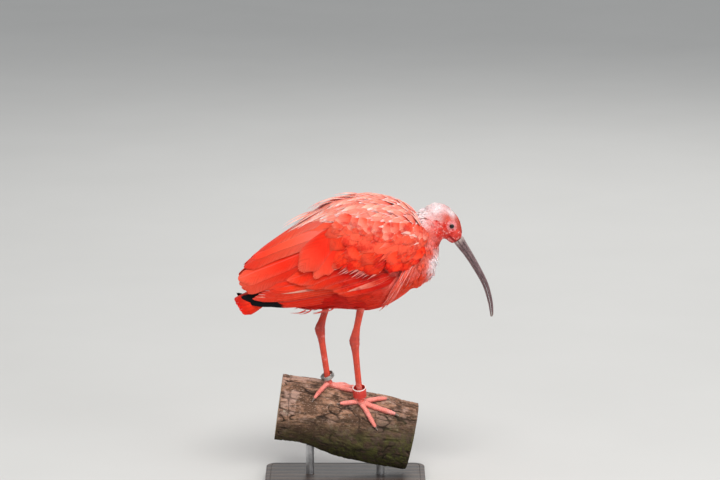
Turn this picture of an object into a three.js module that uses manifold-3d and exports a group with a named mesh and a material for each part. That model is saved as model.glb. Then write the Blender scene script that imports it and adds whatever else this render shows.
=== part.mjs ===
// Scarlet ibis standing on a cut branch, life size, as a still museum model.
// Millimetres, +Z up. The bird looks along +X and its left side is +Y.
// The origin is the middle of the base's underside.
import * as THREE from "three";
import { LoftGeometry } from "three/addons/geometries/LoftGeometry.js";
import { mergeVertices } from "three/addons/utils/BufferGeometryUtils.js";
import Module from "manifold-3d";

const wasm = await Module();
wasm.setup();

// Gap between pieces that touch
const GAP = 0.3;
const DEG = Math.PI / 180;
const RIGHT = -1;
const LEFT = 1;
// How far a facet may stray where small ones are merged
const FACET_TOLERANCE = 0.05;

// Branch and stand
const BRANCH_RADIUS = 50;
const BRANCH_SIDE = 18;
// Height of the branch's axis along x; the branch ends at the first and the last row
const BRANCH_AXIS = [
  [-98, 116.5],
  [-66, 112],
  [-40, 106],
  [-18, 98.5],
  [6, 91.5],
  [36, 84],
  [98, 71],
];
const BARK_ROUGHNESS = 1.1;
const BASE_LENGTH = 236;
const BASE_WIDTH = 156;
const BASE_THICKNESS = 14;
const BASE_CORNER = 16;
const BASE_EDGE = 2;
const ROD_RADIUS = 6;
const ROD_REAR_X = -52;
const ROD_FRONT_X = 52;

// Outer surface of the plumage, from the folded wings' tips to the breast:
// x, top, bottom, half width, height of the widest line, squareness of the lower half
const PLUMAGE = [
  [-162, 320, 284, 11, 306, 3.4],
  [-150, 331, 272, 17, 304, 4.0],
  [-130, 349, 269, 24, 307, 4.0],
  [-105, 368, 269, 34, 313, 3.6],
  [-80, 387, 267, 43, 321, 3.0],
  [-50, 410, 266, 51, 333, 2.5],
  [-20, 429, 268, 57, 344, 2.3],
  [10, 437, 267, 60, 350, 2.2],
  [40, 439, 266, 61, 352, 2.1],
  [65, 434, 275, 59, 351, 2.1],
  [85, 426, 287, 54, 349, 2.0],
  [100, 414, 295, 47, 346, 2.0],
  [112, 399, 301, 39, 344, 2.0],
  [122, 379, 307, 29, 342, 2.0],
  [130, 357, 317, 17, 338, 2.0],
];

// Depth of a folded wing at the side of the body, and thickness of a vane along its shaft
const WING_DEPTH = 8.5;
const VANE_THICKNESS = 0.9;
// The rump draws in below the folded wings: x, share of the plumage's half width,
// drop of the top, rise of the bottom
const RUMP = [
  [-116, 0.2, 50, 22],
  [-104, 0.32, 42, 14],
  [-88, 0.52, 30, 7],
  [-68, 0.74, 17, 2],
  [-45, 0.9, 7, 0],
  [-15, 1, 3, 0],
  [85, 1, 3, 0],
  [118, 1, 0.5, 0],
];

// Neck: centre x and z, half depth, half width
const NECK = [
  [88, 316, 33, 38],
  [100, 337, 32.5, 33],
  [107.5, 357, 29.5, 27],
  [115, 375, 25.5, 22.5],
  [125, 391, 26, 20],
  [136, 401, 22, 17],
];

// Head, measured back from the root of the bill: distance, depth on the crown side, depth on the
// chin side, half width
const HEAD_ROOT = new THREE.Vector2(163, 371.5);
const HEAD_TILT = 125 * DEG;
const HEAD = [
  [0, 8.6, 9.6, 7.6],
  [4, 11.2, 11.6, 9.6],
  [10, 14.4, 13.6, 12.2],
  [18, 17.8, 15.6, 14.6],
  [27, 19.6, 17.4, 16.2],
  [36, 19.3, 18.4, 16.8],
  [45, 17.9, 18.4, 16.4],
  [53, 14.2, 17.4, 14.8],
  [60, 9, 13.4, 11.2],
  [65, 3, 6, 5],
];
const EYE_RADIUS = 5.2;
const EYE_BACK = 24;
const EYE_UP = 6.2;
const EYE_SIDE = 11.6;
const LID_RING = 4.5;
const LID_THICKNESS = 1.0;

// Bill: centre x and z, depth of the upper and of the lower half, half width
const BILL = [
  [163.2, 371.2, 9.6, 6.6, 6.6],
  [170.4, 360.8, 8.2, 5.8, 5.6],
  [178, 350.3, 7.0, 5.2, 4.9],
  [190.6, 330, 5.8, 4.6, 4.1],
  [203.4, 305.6, 4.9, 3.9, 3.5],
  [210.6, 281, 4.1, 3.1, 3.0],
  [213.2, 263, 3.0, 2.2, 2.3],
  [212.9, 257.4, 1.7, 1.2, 1.3],
];
const NOSTRIL_BACK = 9;
const NOSTRIL_LENGTH = 8;

// Tail
const TAIL_ROOT = [-82, 320];
const TAIL_TIP = [-158, 272];
const TAIL_FEATHERS = 9;
const TAIL_FAN_ROOT = 6;
const TAIL_FAN_TIP = 16.5;
const TAIL_SPREAD = 205 * DEG;
const TAIL_HALF = 5.8;

// Legs: hip side, heel and foot positions
const LEGS = {
  left: { side: LEFT, belly: [-20.4, 24, 290], heel: [-37, 14, 236], foot: [-23.6, 4] },
  right: { side: RIGHT, belly: [25.7, -24, 290], heel: [13.6, -15, 225.5], foot: [20.6, -10] },
};
const TIBIA_TOP = [5.6, 5];
const TARSUS = [4.9, 3.9];
const HEEL = [7.6, 5.8];
const HUB_HEIGHT = 6.4;
// Toes: heading from the front in degrees, towards the camera's side when positive, length, radius
const TOES = {
  left: {
    inner: [-4, 42, 3.3],
    middle: [-20, 56, 3.6],
    outer: [-44, 46, 3.2],
    hind: [112, 33, 2.9],
  },
  right: {
    inner: [-26, 44, 3.3],
    middle: [8, 56, 3.6],
    outer: [46, 44, 3.2],
    hind: [158, 30, 3.1],
  },
};
const CLAW_LENGTH = 7.5;
const TOE_SIDES = 7;

// Leg rings
const METAL_RING = { inner: 8.8, outer: 10, height: 6, roll: 25, pitch: 12, rise: 15 };
const COLOUR_RING = { inner: 8.7, outer: 9.9, height: 15.5, roll: 4, pitch: 19, rise: 19.2 };

// Colours
const SCARLET = 0xe8402a;
const SALMON = 0xf07a62;
const ORANGE_RED = 0xdf4a22;
const LEG_RED = 0xd0503c;
const HORN = 0x5a4a48;
const CLAW = 0x4a403c;
const BARK = 0x8a6f58;

// Smooth value of one column at x, through rows that rise in x
function valueAt(rows, column, x) {
  const last = rows.length - 1;
  if (x <= rows[0][0]) return rows[0][column];
  if (x >= rows[last][0]) return rows[last][column];
  let i = 0;
  while (x > rows[i + 1][0]) i++;
  const slope = (a, b) => (rows[b][column] - rows[a][column]) / (rows[b][0] - rows[a][0]);
  const span = rows[i + 1][0] - rows[i][0];
  const t = (x - rows[i][0]) / span;
  const before = slope(Math.max(i - 1, 0), i + 1) * span;
  const after = slope(i, Math.min(i + 2, last)) * span;
  const t2 = t * t;
  const t3 = t2 * t;
  return (
    (2 * t3 - 3 * t2 + 1) * rows[i][column] +
    (t3 - 2 * t2 + t) * before +
    (3 * t2 - 2 * t3) * rows[i + 1][column] +
    (t3 - t2) * after
  );
}

const mix = (a, b, t) => a + (b - a) * t;
const signedPower = (v, p) => Math.sign(v) * Math.abs(v) ** p;

// Point on the plumage at station x, angle from the back's ridge (0) to the belly's keel (180 degrees)
function plumagePoint(x, angle, side) {
  const top = valueAt(PLUMAGE, 1, x);
  const bottom = valueAt(PLUMAGE, 2, x);
  const width = valueAt(PLUMAGE, 3, x);
  const widest = valueAt(PLUMAGE, 4, x);
  const square = angle > Math.PI / 2 ? valueAt(PLUMAGE, 5, x) : 2;
  const height = angle > Math.PI / 2 ? widest - bottom : top - widest;
  const y = width * Math.abs(Math.sin(angle)) ** (2 / square);
  const z = widest + height * signedPower(Math.cos(angle), 2 / square);
  return new THREE.Vector3(x, side * y, z);
}

// Angle at which the plumage stands at height z
function angleAt(x, z) {
  const top = valueAt(PLUMAGE, 1, x);
  const bottom = valueAt(PLUMAGE, 2, x);
  const widest = valueAt(PLUMAGE, 4, x);
  const below = z < widest;
  const square = below ? valueAt(PLUMAGE, 5, x) : 2;
  const share = THREE.MathUtils.clamp((z - widest) / (below ? widest - bottom : top - widest), -0.999, 0.999);
  return Math.acos(signedPower(share, square / 2));
}

// Point on the plumage with its outward normal and its two slopes
function plumageFrame(x, angle, side) {
  const step = 0.02;
  const point = plumagePoint(x, angle, side);
  const alongX = plumagePoint(x + step * 10, angle, side).sub(point).divideScalar(step * 10);
  const alongAngle = plumagePoint(x, angle + step, side).sub(point).divideScalar(step);
  const normal = new THREE.Vector3().crossVectors(alongX, alongAngle).normalize();
  if (normal.y * side < 0) normal.negate();
  return { point, normal, alongX, alongAngle };
}

// Closed solid of a geometry, facing out
function solidOf(geometry) {
  const bare = new THREE.BufferGeometry();
  bare.setAttribute("position", geometry.getAttribute("position").clone());
  bare.setIndex(geometry.index ? geometry.index.clone() : null);
  const merged = mergeVertices(bare, 1e-4);
  const vertProperties = new Float32Array(merged.attributes.position.array);
  const corners = Array.from(merged.index.array);
  const triVerts = [];
  for (let i = 0; i < corners.length; i += 3) {
    const [a, b, c] = corners.slice(i, i + 3);
    if (a !== b && b !== c && a !== c) triVerts.push(a, b, c);
  }
  const make = (t) =>
    new wasm.Manifold(new wasm.Mesh({ numProp: 3, vertProperties, triVerts: new Uint32Array(t) }));
  const solid = make(triVerts);
  if (solid.volume() > 0) return solid;
  for (let i = 0; i < triVerts.length; i += 3) {
    [triVerts[i + 1], triVerts[i + 2]] = [triVerts[i + 2], triVerts[i + 1]];
  }
  return make(triVerts);
}

// The largest closed body of a solid
function largest(solid) {
  return solid.decompose().reduce((a, b) => (a.volume() > b.volume() ? a : b));
}

function lowest(solids) {
  return solids.reduce((a, b) => (a.boundingBox().min[2] < b.boundingBox().min[2] ? a : b));
}

function joined(solids) {
  return solids.slice(1).reduce((a, b) => a.add(b), solids[0]);
}

// Solid skinned over closed sections, whichever way round their points run
function loft(sections) {
  const middle = Math.floor(sections.length / 2);
  const ring = sections[middle];
  const sum = (points) => points.reduce((a, p) => a.add(p), new THREE.Vector3());
  const centreOf = (points) => sum(points).divideScalar(points.length);
  const centre = centreOf(ring);
  const heading = centreOf(sections[middle]).sub(centreOf(sections[middle - 1]));
  const turning = new THREE.Vector3();
  ring.forEach((p, i) => {
    const next = ring[(i + 1) % ring.length];
    turning.add(new THREE.Vector3().crossVectors(p.clone().sub(centre), next.clone().sub(centre)));
  });
  const ordered = turning.dot(heading) > 0 ? sections : sections.map((points) => [...points].reverse());
  return solidOf(new LoftGeometry(ordered, { capStart: true, capEnd: true }));
}

// Solid on one side of a plane through a point of the side view, whose normal lies in that view
function trimmed(solid, x, z, angle, gap = GAP / 2) {
  const normal = [Math.cos(angle), 0, Math.sin(angle)];
  return solid.trimByPlane(normal, x * normal[0] + z * normal[2] + gap);
}

// Thin closed sheet between two grids of points, split into triangles alike on both faces
function sheet(outer, inner) {
  const rows = outer.length;
  const columns = outer[0].length;
  const positions = [];
  const index = [];
  const at = (face, i, j) => (face * rows + i) * columns + j;
  for (const grid of [outer, inner]) {
    for (const row of grid) for (const p of row) positions.push(p.x, p.y, p.z);
  }
  const quad = (a, b, c, d) => index.push(a, b, c, a, c, d);
  for (let i = 0; i < rows - 1; i++) {
    for (let j = 0; j < columns - 1; j++) {
      quad(at(0, i, j), at(0, i + 1, j), at(0, i + 1, j + 1), at(0, i, j + 1));
      index.push(at(1, i, j), at(1, i + 1, j + 1), at(1, i + 1, j));
      index.push(at(1, i, j), at(1, i, j + 1), at(1, i + 1, j + 1));
    }
    quad(at(0, i, 0), at(1, i, 0), at(1, i + 1, 0), at(0, i + 1, 0));
    quad(at(0, i + 1, columns - 1), at(1, i + 1, columns - 1), at(1, i, columns - 1), at(0, i, columns - 1));
  }
  for (let j = 0; j < columns - 1; j++) {
    quad(at(0, 0, j), at(0, 0, j + 1), at(1, 0, j + 1), at(1, 0, j));
    quad(at(0, rows - 1, j + 1), at(0, rows - 1, j), at(1, rows - 1, j), at(1, rows - 1, j + 1));
  }
  const geometry = new THREE.BufferGeometry();
  geometry.setAttribute("position", new THREE.Float32BufferAttribute(positions, 3));
  geometry.setIndex(index);
  return solidOf(geometry);
}

// Share of a feather's half width along it, for a blunt and for a pointed feather
const BLUNT = [
  [0, 0.45],
  [0.4, 0.95],
  [0.78, 1],
  [0.93, 0.72],
  [1, 0.25],
];
const SHORT = [
  [0, 0.5],
  [0.45, 1],
  [0.84, 0.9],
  [1, 0.35],
];
const ROUND = [
  [0, 0.5],
  [0.6, 1],
  [0.92, 0.95],
  [1, 0.5],
];
const POINTED = [
  [0, 0.5],
  [0.3, 1],
  [0.65, 0.8],
  [1, 0.12],
];

// One feather laid on the plumage. root and tip are x and z in the side view, or x and an angle
// where onBack is set. lift is its height over the plumage at the root and at the tip, lean the
// rise of its lower edge over its upper one, for each mm across.
function feather({ root, tip, half, lift, lean, shape, narrow, onBack, grow, side }) {
  const start = onBack ? root[1] * DEG : angleAt(root[0], root[1]);
  const end = onBack ? tip[1] * DEG : angleAt(tip[0], tip[1]);
  const outer = [];
  const inner = [];
  for (const [u, share] of shape) {
    const x = mix(root[0], tip[0], u);
    const angle = mix(start, end, u);
    const { normal, alongX, alongAngle } = plumageFrame(x, angle, side);
    const heading = alongX
      .clone()
      .multiplyScalar(tip[0] - root[0])
      .addScaledVector(alongAngle, end - start)
      .normalize();
    const across = new THREE.Vector3().crossVectors(normal, heading).normalize();
    if (across.z > 0) across.negate();
    // steps in x and in angle that move one mm across
    const xx = alongX.dot(alongX);
    const xa = alongX.dot(alongAngle);
    const aa = alongAngle.dot(alongAngle);
    const det = xx * aa - xa * xa;
    const stepX = (across.dot(alongX) * aa - across.dot(alongAngle) * xa) / det;
    const stepA = (across.dot(alongAngle) * xx - across.dot(alongX) * xa) / det;
    const reach = half * share + grow;
    const height = mix(lift[0], lift[1], 1 - (1 - u) ** 2);
    const outerRow = [];
    const innerRow = [];
    for (const v of narrow ? [-1, 1] : [-1, 0, 1]) {
      const at = plumageFrame(x + stepX * v * reach, Math.max(angle + stepA * v * reach, 0.02), side);
      const rise = height + lean * v * reach;
      const halfThick = (v === 0 ? 0.5 : 0.36) * VANE_THICKNESS + grow;
      outerRow.push(at.point.clone().addScaledVector(at.normal, rise + halfThick));
      innerRow.push(at.point.clone().addScaledVector(at.normal, rise - halfThick));
    }
    outer.push(outerRow);
    inner.push(innerRow);
  }
  return sheet(outer, inner);
}

// Feathers of one tier, from the first to the last, with each value worked out along the row
function tier(count, first, last, common, side, grow = 0) {
  const made = [];
  for (let i = 0; i < count; i++) {
    const t = count > 1 ? i / (count - 1) : 0;
    const between = (key) => first[key].map((v, k) => mix(v, last[key][k], t));
    made.push(
      feather({
        ...common,
        root: between("root"),
        tip: between("tip"),
        half: mix(first.half, last.half, t),
        lift: between("lift"),
        side,
        grow,
      }),
    );
  }
  return made;
}

// Torso: the plumage drawn in at the rump, with a shallow bed for each wing
const TORSO_STATIONS = [-116, -106, -94, -80, -62, -38, -12, 14, 40, 62, 80, 94, 105, 115, 123, 130];
const TORSO_SIDES = 24;

function torsoLoft(grow) {
  const sections = TORSO_STATIONS.map((x) => {
    const share = valueAt(RUMP, 1, x);
    const drop = valueAt(RUMP, 2, x);
    const rise = valueAt(RUMP, 3, x);
    const ring = [];
    for (let k = 0; k < TORSO_SIDES; k++) {
      const turn = (k / TORSO_SIDES) * Math.PI * 2;
      const side = turn > Math.PI ? LEFT : RIGHT;
      const angle = side === LEFT ? 2 * Math.PI - turn : turn;
      const { point, normal } = plumageFrame(x, THREE.MathUtils.clamp(angle, 0.001, Math.PI - 0.001), side);
      point.z -= drop * Math.max(Math.cos(angle), 0);
      point.z += rise * Math.max(-Math.cos(angle), 0);
      point.y *= share;
      if (k === 0 || k === TORSO_SIDES / 2) point.y = 0;
      point.addScaledVector(new THREE.Vector3(0, normal.y, normal.z).normalize(), grow);
      ring.push(point);
    }
    return ring;
  });
  return loft(sections);
}

// Bed and body of a folded wing: x, top edge and bottom edge in the side view
const WING_BODY = [
  [-66, 378, 292],
  [-36, 397, 291],
  [0, 405, 297],
  [36, 405, 308],
  [66, 402, 319],
  [88, 396, 330],
  [106, 386, 345],
  [117, 373, 358],
];

function wingBody(side, grow, deep, high) {
  const outer = [];
  const inner = [];
  for (const [x, top, bottom] of WING_BODY) {
    const edge = x === WING_BODY[0][0] ? -grow : x === WING_BODY[WING_BODY.length - 1][0] ? grow : 0;
    const upper = angleAt(x, top + grow);
    const lower = angleAt(x, bottom - grow);
    const outerRow = [];
    const innerRow = [];
    for (let j = 0; j <= 6; j++) {
      const { point, normal } = plumageFrame(x + edge, mix(upper, lower, j / 6), side);
      const atRim = j === 0 || j === 6;
      outerRow.push(point.clone().addScaledVector(normal, atRim && high < 2 ? high - 1.5 : high));
      innerRow.push(point.clone().addScaledVector(normal, -deep));
    }
    outer.push(outerRow);
    inner.push(innerRow);
  }
  return sheet(outer, inner);
}

// Long feathers of the shoulders and back, which lie over the wings' upper edges
function shoulderFeathers(grow) {
  const made = [];
  for (const side of [RIGHT, LEFT]) {
    made.push(
      ...tier(
        6,
        { root: [84, 38], tip: [42, 58], half: 10.5, lift: [-4.2, 2.2] },
        { root: [-8, 34], tip: [-82, 51], half: 10, lift: [-4.6, 3] },
        { shape: POINTED, onBack: true, lean: 0.09 },
        side,
        grow,
      ),
      ...tier(
        5,
        { root: [72, 17], tip: [30, 34], half: 11.5, lift: [-4.4, 1.2] },
        { root: [-6, 12], tip: [-76, 22], half: 10, lift: [-5, 5] },
        { shape: POINTED, onBack: true, lean: 0.07 },
        side,
        grow,
      ),
    );
  }
  return made;
}

// Torso and neck in one, with the wings' beds; grown for cutting what lies against it
function bodySolid(grow) {
  let body = torsoLoft(-0.4 + grow).add(neckLoft(grow));
  const room = GAP + 0.1 - grow;
  for (const side of [RIGHT, LEFT]) body = body.subtract(wingBody(side, room, WING_DEPTH + room, 14));
  return body;
}

// Feathers of a folded wing, in tiers from the ones that lie lowest to those on top
function wingFeathers(side) {
  return [
    // primaries
    ...tier(
      4,
      { root: [12, 296], tip: [-134, 275.5], half: 5.5, lift: [-6.6, -5.2] },
      { root: [-6, 308], tip: [-148, 290], half: 6, lift: [-6.6, -4.8] },
      { lean: 0.28, shape: BLUNT, narrow: true },
      side,
    ),
    // secondaries
    ...tier(
      5,
      { root: [34, 305], tip: [-108, 281.5], half: 7, lift: [-6.3, -3.1] },
      { root: [-26, 334], tip: [-146, 302], half: 7.5, lift: [-6.4, -2.8] },
      { lean: 0.2, shape: BLUNT, narrow: true },
      side,
    ),
    // tertials
    ...tier(
      4,
      { root: [-6, 344], tip: [-156, 303], half: 11, lift: [-6.2, -0.2] },
      { root: [-34, 391], tip: [-141, 335], half: 11.5, lift: [-6.2, 0.6] },
      { lean: 0.16, shape: BLUNT },
      side,
    ),
    // greater coverts
    ...tier(
      6,
      { root: [60, 318], tip: [-12, 297], half: 8.5, lift: [-6, 0.4] },
      { root: [2, 358], tip: [-80, 324], half: 10, lift: [-6, 2.6] },
      { lean: 0.16, shape: SHORT },
      side,
    ),
    // median coverts
    ...tier(
      6,
      { root: [98, 349], tip: [60, 326], half: 10, lift: [-5.8, 2] },
      { root: [26, 384], tip: [-26, 352], half: 12, lift: [-5.8, 3.6] },
      { lean: 0.12, shape: SHORT },
      side,
    ),
    // lesser coverts
    ...tier(
      4,
      { root: [110, 366], tip: [84, 346], half: 10, lift: [-5.6, 2.6] },
      { root: [60, 396], tip: [18, 375], half: 13, lift: [-5.6, 4] },
      { lean: 0.1, shape: SHORT },
      side,
    ),
  ];
}

function wingSolid(side, clear) {
  let wing = joined([wingBody(side, 0, WING_DEPTH, -5), ...wingFeathers(side)]);
  for (const other of clear) wing = wing.subtract(other);
  return largest(wing.trimByPlane([0, side, 0], GAP));
}

// Tail: feathers set round an arched fan that droops from the rump, each outer one under its neighbour
const tailRoot = new THREE.Vector3(TAIL_ROOT[0], 0, TAIL_ROOT[1]);
const tailAxis = new THREE.Vector3(TAIL_TIP[0], 0, TAIL_TIP[1]).sub(tailRoot);
const tailLength = tailAxis.length();
tailAxis.normalize();
const tailUp = new THREE.Vector3(tailAxis.z, 0, -tailAxis.x);

function tailPoint(u, turn, over) {
  const out = tailUp.clone().multiplyScalar(Math.cos(turn)).add(new THREE.Vector3(0, Math.sin(turn), 0));
  return tailRoot
    .clone()
    .addScaledVector(tailAxis, tailLength * u * (1 - 0.035 * Math.abs(turn)))
    .addScaledVector(tailUp, -TAIL_FAN_ROOT)
    .addScaledVector(out, mix(TAIL_FAN_ROOT, TAIL_FAN_TIP, u) + over);
}

function tailFeather(turn, grow) {
  const outer = [];
  const inner = [];
  for (const [u, share] of ROUND) {
    const fan = mix(TAIL_FAN_ROOT, TAIL_FAN_TIP, u);
    const outerRow = [];
    const innerRow = [];
    for (const v of [-1, 0, 1]) {
      const reach = TAIL_HALF * share + grow;
      const over = 0.17 * v * reach * Math.sign(turn);
      outerRow.push(tailPoint(u, turn + (v * reach) / fan, over + (v === 0 ? 0.45 : 0.3) + grow));
      innerRow.push(tailPoint(u, turn + (v * reach) / fan, over - (v === 0 ? 0.45 : 0.3) - grow));
    }
    outer.push(outerRow);
    inner.push(innerRow);
  }
  return sheet(outer, inner);
}

function tailFeathers(grow) {
  const made = [];
  for (let i = 0; i < TAIL_FEATHERS; i++) {
    made.push(tailFeather((i / (TAIL_FEATHERS - 1) - 0.5) * TAIL_SPREAD, grow));
  }
  return joined(made);
}

// Closed body along a path of rings: centre, half depth in the side view, half width across
function limb(rows, sides) {
  const centres = rows.map(([x, y, z]) => new THREE.Vector3(x, y, z));
  const sections = rows.map((row, i) => {
    const before = centres[Math.max(i - 1, 0)];
    const after = centres[Math.min(i + 1, rows.length - 1)];
    const heading = new THREE.Vector3().subVectors(after, before).normalize();
    const across = new THREE.Vector3(0, 1, 0).addScaledVector(heading, -heading.y).normalize();
    const deep = new THREE.Vector3().crossVectors(heading, across).normalize();
    const ring = [];
    for (let k = 0; k < sides; k++) {
      const turn = (k / sides) * Math.PI * 2;
      ring.push(
        centres[i]
          .clone()
          .addScaledVector(deep, Math.cos(turn) * row[3])
          .addScaledVector(across, Math.sin(turn) * row[4]),
      );
    }
    return ring;
  });
  return loft(sections);
}

// Neck and head
const headAxis = new THREE.Vector2(Math.cos(HEAD_TILT), Math.sin(HEAD_TILT));
const headUp = new THREE.Vector2(headAxis.y, -headAxis.x);

// Point of the head's own side view: distance back from the bill's root, and height on the crown side
function headPoint(back, up, y = 0) {
  return new THREE.Vector3(
    HEAD_ROOT.x + headAxis.x * back + headUp.x * up,
    y,
    HEAD_ROOT.y + headAxis.y * back + headUp.y * up,
  );
}

function headLoft() {
  const sides = 18;
  const sections = HEAD.map(([back, crown, chin, half]) => {
    const ring = [];
    for (let k = 0; k < sides; k++) {
      const turn = (k / sides) * Math.PI * 2;
      const up = Math.cos(turn);
      ring.push(headPoint(back, up > 0 ? crown * up : chin * up, half * signedPower(Math.sin(turn), 0.9)));
    }
    return ring;
  });
  return loft(sections);
}

function neckLoft(grow) {
  return limb(
    NECK.map(([x, z, deep, half]) => [x, 0, z, deep + grow, half + grow]),
    18,
  );
}

function ball(radius, centre, detail = [12, 8]) {
  return solidOf(new THREE.SphereGeometry(radius, ...detail).translate(centre.x, centre.y, centre.z));
}

function lidRing(side) {
  const geometry = new THREE.TorusGeometry(LID_RING, LID_THICKNESS, 5, 14);
  geometry.rotateX(Math.PI / 2);
  geometry.scale(1.08, 1, 0.96);
  geometry.rotateZ(-side * 9 * DEG);
  const centre = headPoint(EYE_BACK, EYE_UP, side * (EYE_SIDE + 2.9));
  return solidOf(geometry.translate(centre.x, centre.y, centre.z));
}

// The mouth's corner runs a little way back from the bill onto each cheek
function mouthLine(side) {
  const rows = [-2, 4, 8, 11].map((back, i) => {
    const p = headPoint(back, -2.6 - 0.25 * back, side * (7.5 + 0.42 * Math.max(back, 0)));
    return [p.x, p.y, p.z, 0.7 - 0.12 * i, 1.3];
  });
  return limb(rows, 6);
}

// Bill halves: sections across the bill's curved centre line
function billHalf(upper) {
  const points = BILL.map(([x, z]) => new THREE.Vector3(x, 0, z));
  const curve = new THREE.CatmullRomCurve3(points);
  const steps = 16;
  const sections = [];
  for (let i = 0; i <= steps; i++) {
    const t = i / steps;
    const centre = curve.getPoint(t);
    const heading = curve.getTangent(t);
    const up = new THREE.Vector3(-heading.z, 0, heading.x);
    const rows = BILL.map((row, k) => [k / (BILL.length - 1), ...row]);
    const deep = valueAt(rows, upper ? 3 : 4, t);
    const half = valueAt(rows, 5, t);
    const seam = GAP / 2 + 0.1;
    // across and height shares of the right half of the section, from the mouth's edge out
    const outline = upper
      ? [[1, 0], [0.98, 0.34], [0.8, 0.5], [0.82, 0.68], [0.42, 0.95]]
      : [[0.94, 0], [0.96, 0.4], [0.72, 0.78], [0.3, 1]];
    const ring = [
      ...outline,
      [0, upper ? 1.02 : 0.98],
      ...outline.map(([a, h]) => [-a, h]).reverse(),
    ].map(([a, h]) =>
      centre
        .clone()
        .add(new THREE.Vector3(0, a * half, 0))
        .addScaledVector(up, (upper ? 1 : -1) * (seam + h * (deep - seam))),
    );
    sections.push(upper ? ring : ring.reverse());
  }
  return loft(sections);
}

function nostril(side) {
  const curve = new THREE.CatmullRomCurve3(BILL.map(([x, z]) => new THREE.Vector3(x, 0, z)));
  const heading = curve.getTangent(0);
  const up = new THREE.Vector3(-heading.z, 0, heading.x);
  const start = new THREE.Vector3(BILL[0][0], 0, BILL[0][1]);
  const rows = [0, 0.5, 1].map((t, i) => {
    const p = start
      .clone()
      .addScaledVector(heading, NOSTRIL_BACK - NOSTRIL_LENGTH / 2 + NOSTRIL_LENGTH * t)
      .addScaledVector(up, 4.6)
      .setY(side * 5.0);
    return [p.x, p.y, p.z, i === 1 ? 0.8 : 0.4, 1.6];
  });
  return limb(rows, 6);
}

// Branch: a rough cylinder along a bent axis
const BRANCH_REAR = BRANCH_AXIS[0][0];
const BRANCH_FRONT = BRANCH_AXIS[BRANCH_AXIS.length - 1][0];
const branchSide = new THREE.Vector3(0, -1, 0);

function barkRadius(x, turn) {
  const swell = 1.6 * Math.sin(x / 37 + 0.6) * Math.cos(turn * 2 + 0.8);
  const ridges = 0.55 * Math.sin(turn * 7 + x / 21) + 0.45 * Math.sin(turn * 11 - x / 13 + 1);
  return BRANCH_RADIUS + swell + BARK_ROUGHNESS * ridges;
}

function branchSlope(x) {
  const inside = THREE.MathUtils.clamp(x, BRANCH_REAR + 1, BRANCH_FRONT - 1);
  return Math.atan((valueAt(BRANCH_AXIS, 1, inside - 1) - valueAt(BRANCH_AXIS, 1, inside + 1)) / 2);
}

// Point on or over the bark, turn measured from the branch's top towards -Y
function branchPoint(x, turn, over = 0) {
  const slope = branchSlope(x);
  const up = new THREE.Vector3(Math.sin(slope), 0, Math.cos(slope));
  const radius = barkRadius(x, turn) + over;
  return new THREE.Vector3(x, BRANCH_SIDE, valueAt(BRANCH_AXIS, 1, x))
    .addScaledVector(up, radius * Math.cos(turn))
    .addScaledVector(branchSide, radius * Math.sin(turn));
}

function branchSolid(grow) {
  const sides = 26;
  const steps = 10;
  const sections = [];
  for (let i = 0; i <= steps; i++) {
    const x = mix(BRANCH_REAR, BRANCH_FRONT, i / steps);
    const ring = [];
    for (let k = 0; k < sides; k++) ring.push(branchPoint(x, (k / sides) * Math.PI * 2, grow));
    if (i === 0 || i === steps) for (const p of ring) p.x += i === 0 ? -grow : grow;
    sections.push(ring);
  }
  return loft(sections);
}

// Where a foot stands on the branch: x of the axis below it and turn round it
function footing([x, y]) {
  const turn = Math.asin((BRANCH_SIDE - y) / BRANCH_RADIUS);
  return { x: x - BRANCH_RADIUS * Math.cos(turn) * Math.sin(branchSlope(x)), turn };
}

function toePath(foot, [heading, length], t) {
  const start = footing(foot);
  const angle = heading * DEG;
  const x = start.x + Math.cos(angle) * Math.cos(branchSlope(start.x)) * length * t;
  return [x, start.turn + (Math.sin(angle) * length * t) / BRANCH_RADIUS];
}

// Rings of a toe, swollen at its joints
function toeSolid(foot, toe) {
  const [, length, radius] = toe;
  const shares = [0, 0.16, 0.34, 0.44, 0.62, 0.72, 0.88, 1];
  const swell = [1.15, 1.1, 0.95, 1.1, 0.88, 1.02, 0.82, 0.62];
  const sections = shares.map((t, i) => {
    const [x, turn] = toePath(foot, toe, t);
    const [next, nextTurn] = toePath(foot, toe, t + 0.02);
    const r = radius * swell[i];
    const centre = branchPoint(x, turn, r * 0.72);
    const heading = branchPoint(next, nextTurn, r * 0.72).sub(centre).normalize();
    const up = branchPoint(x, turn, r + 5).sub(centre).normalize();
    const across = new THREE.Vector3().crossVectors(heading, up).normalize();
    const ring = [];
    for (let k = 0; k < TOE_SIDES; k++) {
      const angle = (k / TOE_SIDES) * Math.PI * 2;
      ring.push(
        centre
          .clone()
          .addScaledVector(up, Math.cos(angle) * r * 0.95)
          .addScaledVector(across, Math.sin(angle) * r),
      );
    }
    return ring;
  });
  return loft(sections);
}

function clawSolid(foot, toe) {
  const [, length, radius] = toe;
  const sections = [0, 0.4, 0.75, 1].map((t, i) => {
    const share = 1 + (GAP + CLAW_LENGTH * t) / length;
    const [next, nextTurn] = toePath(foot, toe, share + 0.02);
    const [x, turn] = toePath(foot, toe, share);
    const r = radius * [0.56, 0.46, 0.3, 0.1][i];
    const over = [radius * 0.62, radius * 0.62, radius * 0.46, 0.8][i];
    const centre = branchPoint(x, turn, over);
    const heading = branchPoint(next, nextTurn, over).sub(centre).normalize();
    const up = branchPoint(x, turn, over + 5).sub(centre).normalize();
    const across = new THREE.Vector3().crossVectors(heading, up).normalize();
    const ring = [];
    for (let k = 0; k < 5; k++) {
      const angle = (k / 5) * Math.PI * 2;
      ring.push(
        centre
          .clone()
          .addScaledVector(up, Math.cos(angle) * r * 1.15)
          .addScaledVector(across, Math.sin(angle) * r),
      );
    }
    return ring;
  });
  return loft(sections);
}

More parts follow.
